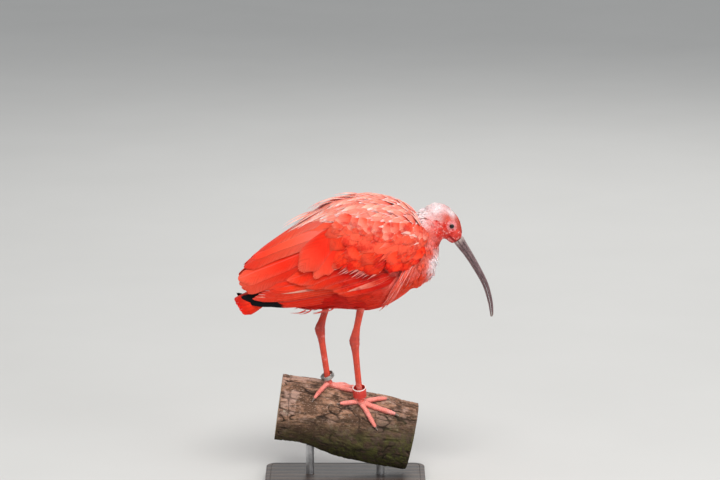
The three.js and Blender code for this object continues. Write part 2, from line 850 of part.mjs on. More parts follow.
// Middle of the foot, where the toes meet, and the top of the foot's block
function footHub(foot) {
  const { x, turn } = footing(foot);
  return branchPoint(x, turn, HUB_HEIGHT);
}

// Whole leg from the foot over the heel into the belly
function legSolid(leg) {
  const hub = footHub(leg.foot);
  const heel = new THREE.Vector3(...leg.heel);
  const belly = new THREE.Vector3(...leg.belly);
  const shank = [
    [0, TARSUS[0] * 1.15, TARSUS[1] * 1.3],
    [0.08, TARSUS[0] * 0.94, TARSUS[1] * 1.05],
    [0.3, TARSUS[0] * 0.93, TARSUS[1] * 0.95],
    [0.7, TARSUS[0], TARSUS[1]],
    [0.86, TARSUS[0] * 1.22, TARSUS[1] * 1.2],
    [0.95, HEEL[0] * 0.98, HEEL[1]],
  ];
  const thigh = [
    [0.03, HEEL[0] * 0.94, HEEL[1] * 0.98],
    [0.16, HEEL[0] * 0.78, HEEL[1] * 0.86],
    [0.34, TIBIA_TOP[0] * 0.88, TIBIA_TOP[1] * 0.88],
    [0.7, TIBIA_TOP[0], TIBIA_TOP[1]],
    [1.1, TIBIA_TOP[0] * 1.5, TIBIA_TOP[1] * 1.5],
  ];
  const along = (from, to) => ([t, deep, half]) => {
    const p = from.clone().lerp(to, t);
    return [p.x, p.y, p.z, deep, half];
  };
  return limb([...shank.map(along(hub, heel)), ...thigh.map(along(heel, belly))], 12);
}

function ringSolid(size, leg) {
  const profile = [
    [size.inner, -size.height / 2],
    [size.outer, -size.height / 2],
    [size.outer, size.height / 2],
    [size.inner, size.height / 2],
    [size.inner, -size.height / 2],
  ].map(([r, h]) => new THREE.Vector2(r, h));
  const geometry = new THREE.LatheGeometry(profile, 24);
  geometry.rotateX(Math.PI / 2);
  geometry.rotateX(size.pitch * DEG);
  geometry.rotateY(-size.roll * DEG);
  const hub = footHub(leg.foot);
  const heel = new THREE.Vector3(...leg.heel);
  const at = hub.clone().lerp(heel, (size.rise - HUB_HEIGHT) / heel.distanceTo(hub));
  return solidOf(geometry.translate(at.x, at.y, at.z));
}

// Base and rods
function baseSolid() {
  const x = BASE_LENGTH / 2 - BASE_EDGE;
  const y = BASE_WIDTH / 2 - BASE_EDGE;
  const r = BASE_CORNER;
  const outline = new THREE.Shape();
  outline.moveTo(-x + r, -y);
  outline.lineTo(x - r, -y);
  outline.absarc(x - r, -y + r, r, -Math.PI / 2, 0);
  outline.lineTo(x, y - r);
  outline.absarc(x - r, y - r, r, 0, Math.PI / 2);
  outline.lineTo(-x + r, y);
  outline.absarc(-x + r, y - r, r, Math.PI / 2, Math.PI);
  outline.lineTo(-x, -y + r);
  outline.absarc(-x + r, -y + r, r, Math.PI, Math.PI * 1.5);
  const geometry = new THREE.ExtrudeGeometry(outline, {
    depth: BASE_THICKNESS - 2 * BASE_EDGE,
    bevelThickness: BASE_EDGE,
    bevelSize: BASE_EDGE,
    bevelSegments: 1,
    curveSegments: 5,
  });
  return solidOf(geometry.translate(0, 0, BASE_EDGE));
}

function rodSolid(x, branch) {
  const top = valueAt(BRANCH_AXIS, 1, x);
  const foot = BASE_THICKNESS + GAP;
  const geometry = new THREE.CylinderGeometry(ROD_RADIUS, ROD_RADIUS, top - foot, 16);
  geometry.rotateX(Math.PI / 2).translate(x, BRANCH_SIDE, (top + foot) / 2);
  return lowest(solidOf(geometry).subtract(branch).decompose());
}

// Whole model
const model = new THREE.Group();

function place(name, whole, colour, roughness, metalness = 0) {
  const solid = whole.asOriginal().simplify(FACET_TOLERANCE);
  const { numProp, vertProperties, triVerts, numVert } = solid.getMesh();
  const positions = new Float32Array(numVert * 3);
  for (let i = 0; i < numVert; i++) {
    positions.set(vertProperties.subarray(i * numProp, i * numProp + 3), i * 3);
  }
  const geometry = new THREE.BufferGeometry();
  geometry.setAttribute("position", new THREE.BufferAttribute(positions, 3));
  geometry.setIndex(new THREE.BufferAttribute(new Uint32Array(triVerts), 1));
  geometry.computeVertexNormals();
  const material = new THREE.MeshStandardMaterial({ color: colour, roughness, metalness });
  const mesh = new THREE.Mesh(geometry, material);
  mesh.name = name;
  model.add(mesh);
}

const branch = branchSolid(0);
const branchGrown = branchSolid(GAP);
place("perch_log", branch, BARK, 0.9);
place("stand_base", baseSolid(), 0x2b211c, 0.45);
place("stand_rod_rear", rodSolid(ROD_REAR_X, branchGrown), 0xb8b8ba, 0.3, 1);
place("stand_rod_front", rodSolid(ROD_FRONT_X, branchGrown), 0xb8b8ba, 0.3, 1);

// Body whole, then parted from the neck and the head by thin cuts
const NECK_CUT = { x: 112, z: 362, angle: 17 * DEG };
const HEAD_CUT = { x: 127, z: 392, angle: 27 * DEG };
const body = bodySolid(0);
const bodyGrown = bodySolid(GAP);
const feathersOnBack = shoulderFeathers(0);
const trunk = trimmed(body, NECK_CUT.x, NECK_CUT.z, NECK_CUT.angle + Math.PI);
place("torso", largest(joined([trunk, ...feathersOnBack])), SCARLET, 0.7);

const front = trimmed(body, NECK_CUT.x, NECK_CUT.z, NECK_CUT.angle);
const neck = trimmed(front, HEAD_CUT.x, HEAD_CUT.z, HEAD_CUT.angle + Math.PI);
place("neck", largest(neck.subtract(joined(shoulderFeathers(GAP)))), SALMON, 0.75);

let head = trimmed(headLoft().add(neckLoft(0)), HEAD_CUT.x, HEAD_CUT.z, HEAD_CUT.angle);
for (const side of [RIGHT, LEFT]) {
  head = head.add(lidRing(side));
  const eye = headPoint(EYE_BACK, EYE_UP, side * EYE_SIDE);
  head = head.subtract(ball(EYE_RADIUS + GAP, eye)).subtract(mouthLine(side));
  place(side === RIGHT ? "eye_right" : "eye_left", ball(EYE_RADIUS, eye), 0x140b08, 0.12);
}
place("head", largest(head), SALMON, 0.65);

// Bill, cut square where it meets the head
const billRoot = { x: HEAD_ROOT.x, z: HEAD_ROOT.y, angle: HEAD_TILT + Math.PI };
let billUpper = trimmed(billHalf(true), billRoot.x, billRoot.z, billRoot.angle, GAP);
for (const side of [RIGHT, LEFT]) billUpper = billUpper.subtract(nostril(side));
place("bill_upper", largest(billUpper), HORN, 0.4);
const billLower = trimmed(billHalf(false), billRoot.x, billRoot.z, billRoot.angle, GAP);
place("bill_lower", largest(billLower), HORN, 0.4);

// Tail, kept clear of the rump
const tail = largest(tailFeathers(0).subtract(bodyGrown));
place("tail", tail, SCARLET, 0.65);

// Wings
const clearOfWings = [bodyGrown, joined(shoulderFeathers(GAP)), tailFeathers(GAP)];
place("wing_right", wingSolid(RIGHT, clearOfWings), SCARLET, 0.6);
place("wing_left", wingSolid(LEFT, clearOfWings), SCARLET, 0.6);

// Legs and feet
for (const [name, leg] of Object.entries(LEGS)) {
  const hub = footHub(leg.foot);
  const whole = legSolid(leg);
  const heelCut = { x: leg.heel[0], z: leg.heel[2] + 6.5, angle: (leg.side === RIGHT ? 80 : 74) * DEG };
  const shin = trimmed(whole, heelCut.x, heelCut.z, heelCut.angle + Math.PI);
  const tibia = trimmed(whole, heelCut.x, heelCut.z, heelCut.angle).subtract(bodyGrown).decompose();
  place(`tibia_${name}`, lowest(tibia), ORANGE_RED, 0.55);
  place(`tarsus_${name}`, largest(trimmed(shin, hub.x, hub.z + 1.5, 90 * DEG)), LEG_RED, 0.5);
  const toes = Object.values(TOES[name]).map((toe) => toeSolid(leg.foot, toe));
  const pad = ball(6.2, footHub(leg.foot).add(new THREE.Vector3(0, 0, -1.2)), [9, 6]);
  const ankle = trimmed(shin.add(pad), hub.x, hub.z + 1.5, -90 * DEG);
  place(`foot_${name}`, largest(joined([ankle, ...toes]).subtract(branchGrown)), LEG_RED, 0.5);
  for (const [toeName, toe] of Object.entries(TOES[name])) {
    place(`claw_${name}_${toeName}`, largest(clawSolid(leg.foot, toe).subtract(branchGrown)), CLAW, 0.4);
  }
}
place("ring_left", ringSolid(METAL_RING, LEGS.left), 0xb4b4b0, 0.35, 1);
place("ring_right", ringSolid(COLOUR_RING, LEGS.right), 0xd0392c, 0.4);

export default model;
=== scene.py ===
"""Scarlet ibis on a cut branch: skin, feathers, bill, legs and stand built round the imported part."""

import math

import bmesh
import bpy
import numpy as np
from bpy.props import FloatProperty, FloatVectorProperty, IntProperty, PointerProperty
from mathutils import Matrix, Vector
from mathutils.bvhtree import BVHTree
from mathutils.kdtree import KDTree


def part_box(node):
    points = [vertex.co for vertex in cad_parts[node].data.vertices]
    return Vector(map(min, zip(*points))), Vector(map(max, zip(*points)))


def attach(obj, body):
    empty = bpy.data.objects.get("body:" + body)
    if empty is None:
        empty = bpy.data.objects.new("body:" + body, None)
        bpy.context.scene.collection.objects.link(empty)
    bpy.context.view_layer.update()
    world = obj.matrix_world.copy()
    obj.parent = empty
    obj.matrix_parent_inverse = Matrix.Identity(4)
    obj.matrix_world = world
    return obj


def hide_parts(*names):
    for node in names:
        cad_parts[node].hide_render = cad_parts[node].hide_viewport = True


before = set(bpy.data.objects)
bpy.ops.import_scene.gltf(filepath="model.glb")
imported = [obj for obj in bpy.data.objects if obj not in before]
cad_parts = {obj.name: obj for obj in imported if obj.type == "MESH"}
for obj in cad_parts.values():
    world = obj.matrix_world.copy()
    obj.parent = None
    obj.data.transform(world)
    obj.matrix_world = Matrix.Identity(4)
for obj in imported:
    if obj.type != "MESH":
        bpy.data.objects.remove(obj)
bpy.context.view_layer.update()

bl_info = {
    "name": "Scarlet ibis on a branch", "version": (1, 0, 0), "blender": (4, 5, 0),
    "location": "3D View > Sidebar > Ibis",
    "description": "Builds a life-size scarlet ibis model feather by feather on its branch and stand",
    "category": "Object"
}

MM = 0.001
RIGHT, LEFT = -1, 1
SIDEWAYS = np.array([0.0, 1.0, 0.0])
DEG = math.pi / 180
EDGE_ANGLE = 75 * DEG  # a vane's edge is sharper than this, so its upper side is shaded apart

# Plumage's outer surface: x, top, bottom, half width, height of the widest line, squareness below (mm)
PLUMAGE = [
    [-162, 320, 284, 11, 306, 3.4], [-150, 331, 272, 17, 304, 4.0], [-130, 349, 269, 24, 307, 4.0],
    [-105, 368, 269, 34, 313, 3.6], [-80, 387, 267, 43, 321, 3.0], [-50, 410, 266, 51, 333, 2.5],
    [-20, 429, 268, 57, 344, 2.3], [10, 437, 267, 60, 350, 2.2], [40, 439, 266, 61, 352, 2.1],
    [65, 434, 275, 59, 351, 2.1], [85, 426, 287, 54, 349, 2.0], [100, 414, 295, 47, 346, 2.0],
    [112, 399, 301, 39, 344, 2.0], [122, 379, 307, 29, 342, 2.0], [130, 357, 317, 17, 338, 2.0]
]
# The rump draws in: x, share of the half width, drop of the top, rise of the bottom
RUMP = [
    [-116, 0.2, 50, 22], [-104, 0.32, 42, 14], [-88, 0.52, 30, 7], [-68, 0.74, 17, 2], [-45, 0.9, 7, 0],
    [-15, 1, 3, 0], [85, 1, 3, 0], [118, 1, 0.5, 0]
]
# Where a folded wing lies: x, upper edge, lower edge
WING_BED = [
    [-66, 378, 292], [-36, 397, 291], [0, 405, 297], [36, 405, 308], [66, 402, 319], [88, 396, 330],
    [106, 386, 345], [117, 373, 358]
]
# Neck: centre x and z, half depth, half width
NECK = [
    [88, 316, 33, 38], [100, 337, 32.5, 33], [107.5, 357, 29.5, 27], [115, 375, 25.5, 22.5],
    [125, 391, 26, 20], [136, 401, 22, 17]
]
# Head back from the bill's root: distance, depth to the crown, depth to the chin, half width
HEAD_ROOT = np.array([163.0, 0.0, 371.5])
HEAD_TILT = 125 * DEG
HEAD = [
    [0, 8.6, 9.6, 7.6], [4, 11.2, 11.6, 9.6], [10, 14.4, 13.6, 12.2], [18, 17.8, 15.6, 14.6],
    [27, 19.6, 17.4, 16.2], [36, 19.3, 18.4, 16.8], [45, 17.9, 18.4, 16.4], [53, 14.2, 17.4, 14.8],
    [60, 9, 13.4, 11.2], [65, 3, 6, 5]
]
EYE_BACK, EYE_UP, EYE_SIDE = 24.0, 6.2, 11.6
# Bill: centre x and z, depth of the upper and of the lower half, half width
BILL = [
    [163.2, 371.2, 9.6, 6.6, 6.6], [170.4, 360.8, 8.2, 5.8, 5.6], [178, 350.3, 7.0, 5.2, 4.9],
    [190.6, 330, 5.8, 4.6, 4.1], [203.4, 305.6, 4.9, 3.9, 3.5], [210.6, 281, 4.1, 3.1, 3.0],
    [213.2, 263, 3.0, 2.2, 2.3], [212.9, 257.4, 1.7, 1.2, 1.3]
]
# Tail fan: root and tip of its line in the side view, radii there, and spread
TAIL_ROOT, TAIL_TIP = np.array([-82.0, 0.0, 320.0]), np.array([-158.0, 0.0, 272.0])
TAIL_FAN_ROOT, TAIL_FAN_TIP, TAIL_SPREAD = 6.0, 16.5, 205 * DEG
# Branch: radius, side shift, and height of its axis along x
BRANCH_RADIUS, BRANCH_SIDE = 50.0, 18.0
BRANCH_AXIS = [[-98, 116.5], [-66, 112], [-40, 106], [-18, 98.5], [6, 91.5], [36, 84], [98, 71]]
KNOT = (-53.0, 0.42)  # a dead knot in the bark: place along the branch and turn round it
# Legs: side, where the leg enters the belly, heel, and the foot's place on the branch
LEGS = {
    "left": (LEFT, (-20.4, 24, 290), (-37, 14, 236), (-23.6, 4)),
    "right": (RIGHT, (25.7, -24, 290), (13.6, -15, 225.5), (20.6, -10))
}
HUB_HEIGHT = 6.4
# Toes: heading towards the camera's side in degrees, length, radius
TOES = {
    "left": {
        "inner": (-4, 42, 3.3), "middle": (-20, 56, 3.6), "outer": (-44, 46, 3.2), "hind": (112, 33, 2.9)
    },
    "right": {"inner": (-26, 44, 3.3), "middle": (8, 56, 3.6), "outer": (46, 44, 3.2), "hind": (158, 30, 3.1)}
}
# Leg rings: inner and outer radius, height, roll, pitch, rise over the foot
METAL_RING = (8.8, 10.0, 6.0, 25, 12, 15.0)
COLOUR_RING = (8.7, 9.9, 15.5, 4, 19, 19.2)


def srgb(code):
    """Linear colour of a six-digit screen colour."""
    values = [int(code[i : i + 2], 16) / 255 for i in (0, 2, 4)]
    return tuple(v / 12.92 if v <= 0.04045 else ((v + 0.055) / 1.055) ** 2.4 for v in values)


def length(name, value, text, low=0.0, high=1.0):
    return FloatProperty(name=name, description=text, default=value, min=low, max=high, unit="LENGTH")


def colour(name, code, text):
    return FloatVectorProperty(
        name=name, description=text, default=srgb(code), size=3, min=0, max=1, subtype="COLOR"
    )


class IbisSizes(bpy.types.PropertyGroup):
    coat_depth: length("Coat depth", 0.0042, "How far the skin lies below the plumage's surface")
    skin_voxel: length("Skin grain", 0.0017, "Edge of a voxel when the skin is fused", 0.0005)
    leg_voxel: length("Leg grain", 0.0006, "Edge of a voxel when a leg is fused", 0.0003)
    eye_radius: length("Eye radius", 0.0052, "Radius of the eyeball")
    feather_scale: FloatProperty(
        name="Feather scale", description="Length of the small feathers", default=1.0, min=0.5, max=2
    )
    bark_depth: length("Bark depth", 0.0026, "Depth of the bark's fissures")
    seed: IntProperty(name="Seed", description="Start of every random draw", default=7)


class IbisColours(bpy.types.PropertyGroup):
    # On the crown this white is a painted sheen.
    white: colour("Pinkish white", "fff0f0", "Crown and neck front")
    pink: colour("Pale pink", "f6bcb8", "Nape and neck")
    peach: colour("Peach", "fab09c", "Pale edges of the mantle")
    salmon: colour("Salmon", "f08472", "Mantle and shoulders")
    coral: colour("Coral", "ee5239", "Breast and neck sides")
    orange: colour("Orange red", "f03c1c", "Belly, flanks and flight feathers")
    scarlet: colour("Scarlet", "ec2b14", "Wing coverts and tail")
    deep: colour("Deep red", "cf1408", "Shaded parts of the coverts")
    face: colour("Face red", "e63c2c", "Bare skin of the face")
    lid: colour("Lid pink", "ee9a9c", "Bare ring round the eye")
    ink: colour("Black tips", "07090d", "Tips of the outer primaries")
    horn: colour("Bill horn", "6c5254", "Sides of the bill")
    leg: colour("Leg coral", "dc4830", "Skin of the legs and toes")
    claw: colour("Claw", "8d7a70", "Horn of the claws")
    ring: colour("Ring red", "d5382c", "Plastic leg ring")
    metal: colour("Ring metal", "b9b8b2", "Aluminium leg ring")
    bark: colour("Bark", "a97f66", "Weathered bark")
    moss: colour("Moss", "4a4a22", "Moss and algae on the bark")
    wood: colour("Base wood", "2c1c14", "Stained base")


# Maths on arrays of points, in mm


def smooth_value(rows, column, x):
    """Smooth value of one column at x, through rows that rise in their first column."""
    table = np.asarray(rows, float)
    xs, ys = table[:, 0], table[:, column]
    x = np.clip(np.asarray(x, float), xs[0], xs[-1])
    i = np.clip(np.searchsorted(xs, x, side="right") - 1, 0, len(xs) - 2)
    low, high = np.maximum(i - 1, 0), np.minimum(i + 2, len(xs) - 1)
    span = xs[i + 1] - xs[i]
    t = (x - xs[i]) / span
    before = (ys[i + 1] - ys[low]) / (xs[i + 1] - xs[low]) * span
    after = (ys[high] - ys[i]) / (xs[high] - xs[i]) * span
    t2, t3 = t * t, t**3
    start = (2 * t3 - 3 * t2 + 1) * ys[i] + (t3 - 2 * t2 + t) * before
    return start + (3 * t2 - 2 * t3) * ys[i + 1] + (t3 - t2) * after


def mix(a, b, t):
    return a + (b - a) * t


def step(low, high, value):
    """Smooth step from 0 at low to 1 at high."""
    t = np.clip((np.asarray(value, float) - low) / (high - low), 0, 1)
    return t * t * (3 - 2 * t)


def bell(value, width, power=2):
    """Falls from 1 where value is 0 to about a third at the width."""
    return np.exp(-((value / width) ** power))


def turns(count):
    return np.arange(count) / count * 2 * math.pi


def pairs(a, b):
    return np.stack(np.broadcast_arrays(a, b), axis=-1)


def walked(line):
    """Way along a line of points, from its start to each of them."""
    return np.concatenate([[0], np.linalg.norm(np.diff(line, axis=0), axis=1).cumsum()])


def unit(v):
    return v / np.maximum(np.linalg.norm(v, axis=-1, keepdims=True), 1e-9)


def signed_power(v, p):
    return np.sign(v) * np.abs(v) ** p


def lumps(points, size, seed=0):
    """Smooth noise from -1 to 1 at points, with lumps of that size in mm."""
    grid = np.asarray(points, float) / size + 1000.0
    cell = np.floor(grid).astype(np.int64)
    f = grid - cell
    f = f * f * (3 - 2 * f)
    total = np.zeros(grid.shape[:-1])
    for corner in range(8):
        offset = np.array([corner & 1, corner >> 1 & 1, corner >> 2 & 1])
        x, y, z = np.moveaxis(cell + offset, -1, 0)
        n = (x * 374761393 + y * 668265263 + z * 1440662683 + seed * 982451653) & 0xFFFFFFFF
        n = ((n ^ (n >> 13)) * 1274126177) & 0xFFFFFFFF
        n = ((n ^ (n >> 16)) * 2246822519) & 0xFFFFFFFF
        share = np.prod(np.where(offset == 1, f, 1 - f), axis=-1)
        total += share * (n & 0xFFFFFF) / 0xFFFFFF
    return total * 2 - 1


def envelope(x, angle, side):
    """Points on the plumage's surface at station x and angle from the ridge of the back."""
    top, bottom = smooth_value(PLUMAGE, 1, x), smooth_value(PLUMAGE, 2, x)
    width, widest = smooth_value(PLUMAGE, 3, x), smooth_value(PLUMAGE, 4, x)
    below = angle > math.pi / 2
    square = np.where(below, smooth_value(PLUMAGE, 5, x), 2.0)
    height = np.where(below, widest - bottom, top - widest)
    y = width * signed_power(np.sin(angle), 2 / square)
    z = widest + height * signed_power(np.cos(angle), 2 / square)
    return np.stack([x + 0 * y, side * y, z], axis=-1)


def over_ridge(x, angle, side):
    """The same surface for vanes that may lie across the ridge of the back."""
    return envelope(x, angle, side)


def angle_at(x, z):
    """Angle from the ridge of the back at which the plumage has the height z."""
    top, bottom, widest = (smooth_value(PLUMAGE, k, x) for k in (1, 2, 4))
    below = z < widest
    square = np.where(below, smooth_value(PLUMAGE, 5, x), 2.0)
    share = np.clip((z - widest) / np.where(below, widest - bottom, top - widest), -0.999, 0.999)
    return np.arccos(signed_power(share, square / 2))


def place_at(x, z):
    """Both parameters of the plumage's surface at x and height z."""
    return pairs(x, angle_at(x, z))


def surface_frame(surface, p, q, side, size):
    """Point, outward normal and both slopes of a surface of two parameters."""
    point = surface(p, q, side)
    slope_p = (surface(p + size, q, side) - point) / size
    slope_q = (surface(p, q + 0.02, side) - point) / 0.02
    normal = unit(np.cross(slope_p, slope_q))
    return point, normal * np.asarray(side, float)[..., None], slope_p, slope_q


def tail_surface(u, turn, side):
    """Points on the tail's arched fan, u from 0 at its root to 1 at its tip."""
    axis = TAIL_TIP - TAIL_ROOT
    reach = np.linalg.norm(axis)
    axis = axis / reach
    up = np.array([axis[2], 0, -axis[0]])
    fan = mix(TAIL_FAN_ROOT, TAIL_FAN_TIP, u)
    out = np.cos(turn)[..., None] * up + np.sin(turn)[..., None] * SIDEWAYS
    along = reach * u * (1 - 0.035 * np.abs(turn))
    return TAIL_ROOT + along[..., None] * axis - TAIL_FAN_ROOT * up + fan[..., None] * out


HEAD_AXIS = np.array([math.cos(HEAD_TILT), 0, math.sin(HEAD_TILT)])
HEAD_UP = np.array([HEAD_AXIS[2], 0, -HEAD_AXIS[0]])


def head_point(back, up, y=0.0):
    return HEAD_ROOT + back * HEAD_AXIS + up * HEAD_UP + y * SIDEWAYS


def head_coordinates(points):
    """Distance back from the bill's root and height on the crown side, of points."""
    d = points - HEAD_ROOT
    return d @ HEAD_AXIS, d @ HEAD_UP


def bark_radius(x, turn):
    swell = 1.6 * np.sin(x / 37 + 0.6) * np.cos(turn * 2 + 0.8)
    ridges = 0.55 * np.sin(turn * 7 + x / 21) + 0.45 * np.sin(turn * 11 - x / 13 + 1)
    return BRANCH_RADIUS + swell + 1.1 * ridges


def branch_slope(x):
    inside = np.clip(x, BRANCH_AXIS[0][0] + 1, BRANCH_AXIS[-1][0] - 1)
    fall = smooth_value(BRANCH_AXIS, 1, inside - 1) - smooth_value(BRANCH_AXIS, 1, inside + 1)
    return np.arctan(fall / 2)


def branch_point(x, turn, over=0.0):
    """Point on the bark, or that far over it; turn goes from the top towards -Y."""
    x, turn = np.broadcast_arrays(np.asarray(x, float), np.asarray(turn, float))
    slope = branch_slope(x)
    radius = bark_radius(x, turn) + over
    tall = radius * np.cos(turn)
    y = BRANCH_SIDE - radius * np.sin(turn)
    z = smooth_value(BRANCH_AXIS, 1, x) + tall * np.cos(slope)
    return np.stack([x + tall * np.sin(slope), y, z], axis=-1)


# Mesh building


def random_draws(salt):
    return np.random.default_rng(bpy.context.scene.ibis_sizes.seed * 1000 + salt)


def shade(name, share=1.0):
    """Colour of that name from the panel, or a darker share of it."""
    return np.array(getattr(bpy.context.scene.ibis_colours, name)) * share


def finish_piece(ob, replaced, material, smooth=True):
    """Links a piece, gives it its finish, and lets it ride on the one body."""
    bpy.context.scene.collection.objects.link(ob)
    ob.data.materials.append(material)
    if smooth:
        ob.data.polygons.foreach_set("use_smooth", np.ones(len(ob.data.polygons), bool))
    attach(ob, "root")
    if replaced:
        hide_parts(*replaced)
    return ob


def from_bmesh(name, bm, scale=MM):
    """Object of a bmesh that was modelled in mm."""
    bmesh.ops.transform(bm, matrix=Matrix.Scale(scale, 4), verts=bm.verts)
    me = bpy.data.meshes.new(name)
    bm.to_mesh(me)
    bm.free()
    return bpy.data.objects.new(name, me)


def from_triangles(name, points, triangles, floats, tint, uv):
    """Object of many small shapes held in arrays, in mm, with their attributes."""
    me = bpy.data.meshes.new(name)
    triangles = np.ascontiguousarray(triangles, np.int32)
    me.vertices.add(len(points))
    me.vertices.foreach_set("co", (points * MM).astype(np.float32).ravel())
    me.loops.add(triangles.size)
    me.loops.foreach_set("vertex_index", triangles.ravel())
    me.polygons.add(len(triangles))
    me.polygons.foreach_set("loop_start", np.arange(0, triangles.size, 3, dtype=np.int32))
    me.update(calc_edges=True)
    put_attributes(me, floats, np.clip(tint, 0, 1))
    layer = me.uv_layers.new(name="OFBake")
    layer.data.foreach_set("uv", uv[triangles.ravel()].astype(np.float32).ravel())
    me.polygons.foreach_set("use_smooth", np.ones(len(triangles), bool))
    me.set_sharp_from_angle(angle=EDGE_ANGLE)
    return bpy.data.objects.new(name, me)


def put_attributes(me, floats, tint=None):
    for name, values in floats.items():
        attribute = me.attributes.new(name, "FLOAT", "POINT")
        attribute.data.foreach_set("value", np.asarray(values, np.float32).ravel())
    if tint is not None:
        full = np.concatenate([tint, np.ones((len(tint), 1))], axis=1)
        attribute = me.attributes.new("tint", "FLOAT_COLOR", "POINT")
        attribute.data.foreach_set("color", full.astype(np.float32).ravel())


def read_mesh(collection, key, width=3):
    """Numbers of one kind from a mesh, as an array with a row for each of its parts."""
    values = np.empty(len(collection) * width, np.int32 if key == "vertices" else np.float32)
    collection.foreach_get(key, values)
    return values.reshape(-1, width)


def mesh_points(me):
    return read_mesh(me.vertices, "co").astype(float) / MM


def mesh_normals(me):
    return read_mesh(me.vertex_normals, "vector").astype(float)


def set_points(me, points):
    me.vertices.foreach_set("co", (points * MM).astype(np.float32).ravel())
    me.update()


def loft(bm, sections, closed=True):
    """Skins a row of rings: a circle is extruded ring by ring, and each ring is shaped in turn."""
    ring = bmesh.ops.create_circle(bm, segments=len(sections[0]), radius=1.0)["verts"]
    made = list(ring)
    edges = list(dict.fromkeys(e for v in ring for e in v.link_edges))
    for v, place in zip(ring, sections[0]):
        v.co = place
    for section in sections[1:]:
        geom = bmesh.ops.extrude_edge_only(bm, edges=edges)["geom"]
        new = {g for g in geom if isinstance(g, bmesh.types.BMVert)}
        ring = [next(e.other_vert(v) for e in v.link_edges if e.other_vert(v) in new) for v in ring]
        edges = [g for g in geom if isinstance(g, bmesh.types.BMEdge) and set(g.verts) <= new]
        made += ring
        for v, place in zip(ring, section):
            v.co = place
    if closed:
        inside = set(made)
        rim = [e for e in bm.edges if e.is_boundary and e.verts[0] in inside]
        bmesh.ops.holes_fill(bm, edges=rim)
    faces = list(dict.fromkeys(f for v in made for f in v.link_faces))
    bmesh.ops.recalc_face_normals(bm, faces=faces)
    return made


def rings_round(centres, ups, across, tall, wide, sides):
    """Rings of points round a path, with their half height and half width at each place."""
    turn = turns(sides)
    return [
        centres[i] + np.cos(turn)[:, None] * ups[i] * tall[i] + np.sin(turn)[:, None] * across[i] * wide[i]
        for i in range(len(centres))
    ]


def limb_rings(rows, sides):
    """Rings along a path of rows: centre, half depth in the side view, half width across."""
    table = np.asarray(rows, float)
    centres = table[:, :3]
    heading = unit(np.vstack([centres[1:], centres[-1:]]) - np.vstack([centres[:1], centres[:-1]]))
    across = unit(SIDEWAYS - heading * heading[:, 1:2])
    return rings_round(centres, np.cross(heading, across), across, table[:, 3], table[:, 4], sides)


def path_rings(centres, ups, up_size, side_size, sides):
    heading = unit(np.gradient(centres, axis=0))
    across = unit(np.cross(heading, ups))
    return rings_round(centres, np.cross(across, heading), across, up_size, side_size, sides)


def fused(ob, voxel):
    """The object's closed shells fused into one mesh by voxels."""
    modifier = ob.modifiers.new("fuse", "REMESH")
    modifier.mode, modifier.voxel_size = "VOXEL", voxel
    bpy.context.scene.collection.objects.link(ob)
    me = bpy.data.meshes.new_from_object(ob.evaluated_get(bpy.context.evaluated_depsgraph_get()))
    name = ob.name
    bpy.data.objects.remove(ob)
    return bpy.data.objects.new(name, me)


def rework(me, work):
    """Changes a mesh by bmesh operators."""
    bm = bmesh.new()
    bm.from_mesh(me)
    work(bm)
    bm.to_mesh(me)
    bm.free()


def smooth_out(bm, rounds):
    bmesh.ops.recalc_face_normals(bm, faces=bm.faces)
    for _ in range(rounds):
        bmesh.ops.smooth_vert(
            bm, verts=bm.verts, factor=0.5, use_axis_x=True, use_axis_y=True, use_axis_z=True
        )


# Feather shapes: share of the half width along the shaft, at even steps


def vane_template(stations, shares, columns, tip_round, fray, draws):
    """One feather as a thin closed body: an upper sheet with frayed edges and a plain underside."""
    rows, middle = len(stations), columns // 2
    across = np.linspace(-1, 1, columns)
    places = []
    for i, (station, share) in enumerate(zip(stations, shares)):
        for j, v in enumerate(across):
            back = tip_round * abs(v) ** 2.2 * station**3
            tooth = fray * draws.uniform(0.3, 1.0) * (1 if (j % 2) else -0.35)
            edge = abs(v) == 1 and 0 < i < rows - 1
            jag = fray * 1.4 * draws.uniform(-1, 0.4) * (1 if edge and i % 2 else 0.25)
            along = station - back + (tooth if i == rows - 1 else 0)
            places.append((along, v, share * (1 + (jag if edge else 0)), 0))
    under = {i: rows * columns + i - 1 for i in range(1, rows - 1)}
    places += [(places[i * columns + middle][0], 0.0, shares[i], 1) for i in under]
    faces = []
    at = lambda i, j: i * columns + j
    for i in range(rows - 1):
        for j in range(columns - 1):
            a, c, d, e = at(i, j), at(i + 1, j), at(i + 1, j + 1), at(i, j + 1)
            faces += [(a, d, c), (a, e, d)] if j < middle else [(a, e, c), (e, d, c)]
    for i in range(rows - 1):
        for edge in (0, columns - 1):
            span = range(edge, middle - 1, -1) if edge else range(0, middle + 1)
            first = [at(0, j) for j in span] if i == 0 else [at(i, edge), under[i]]
            last = [at(rows - 1, j) for j in span] if i == rows - 2 else [at(i + 1, edge), under[i + 1]]
            loop = first + last[::-1] if edge else last + first[::-1]
            anchor = loop.index(under[i] if i > 0 else under[i + 1])
            loop = loop[anchor:] + loop[:anchor]
            faces += [(loop[0], loop[k], loop[k + 1]) for k in range(1, len(loop) - 1)]
    s, b, w, low = np.array(places).T
    return {"s": s, "b": b, "w": w, "low": low, "faces": np.array(faces)[:, ::-1]}


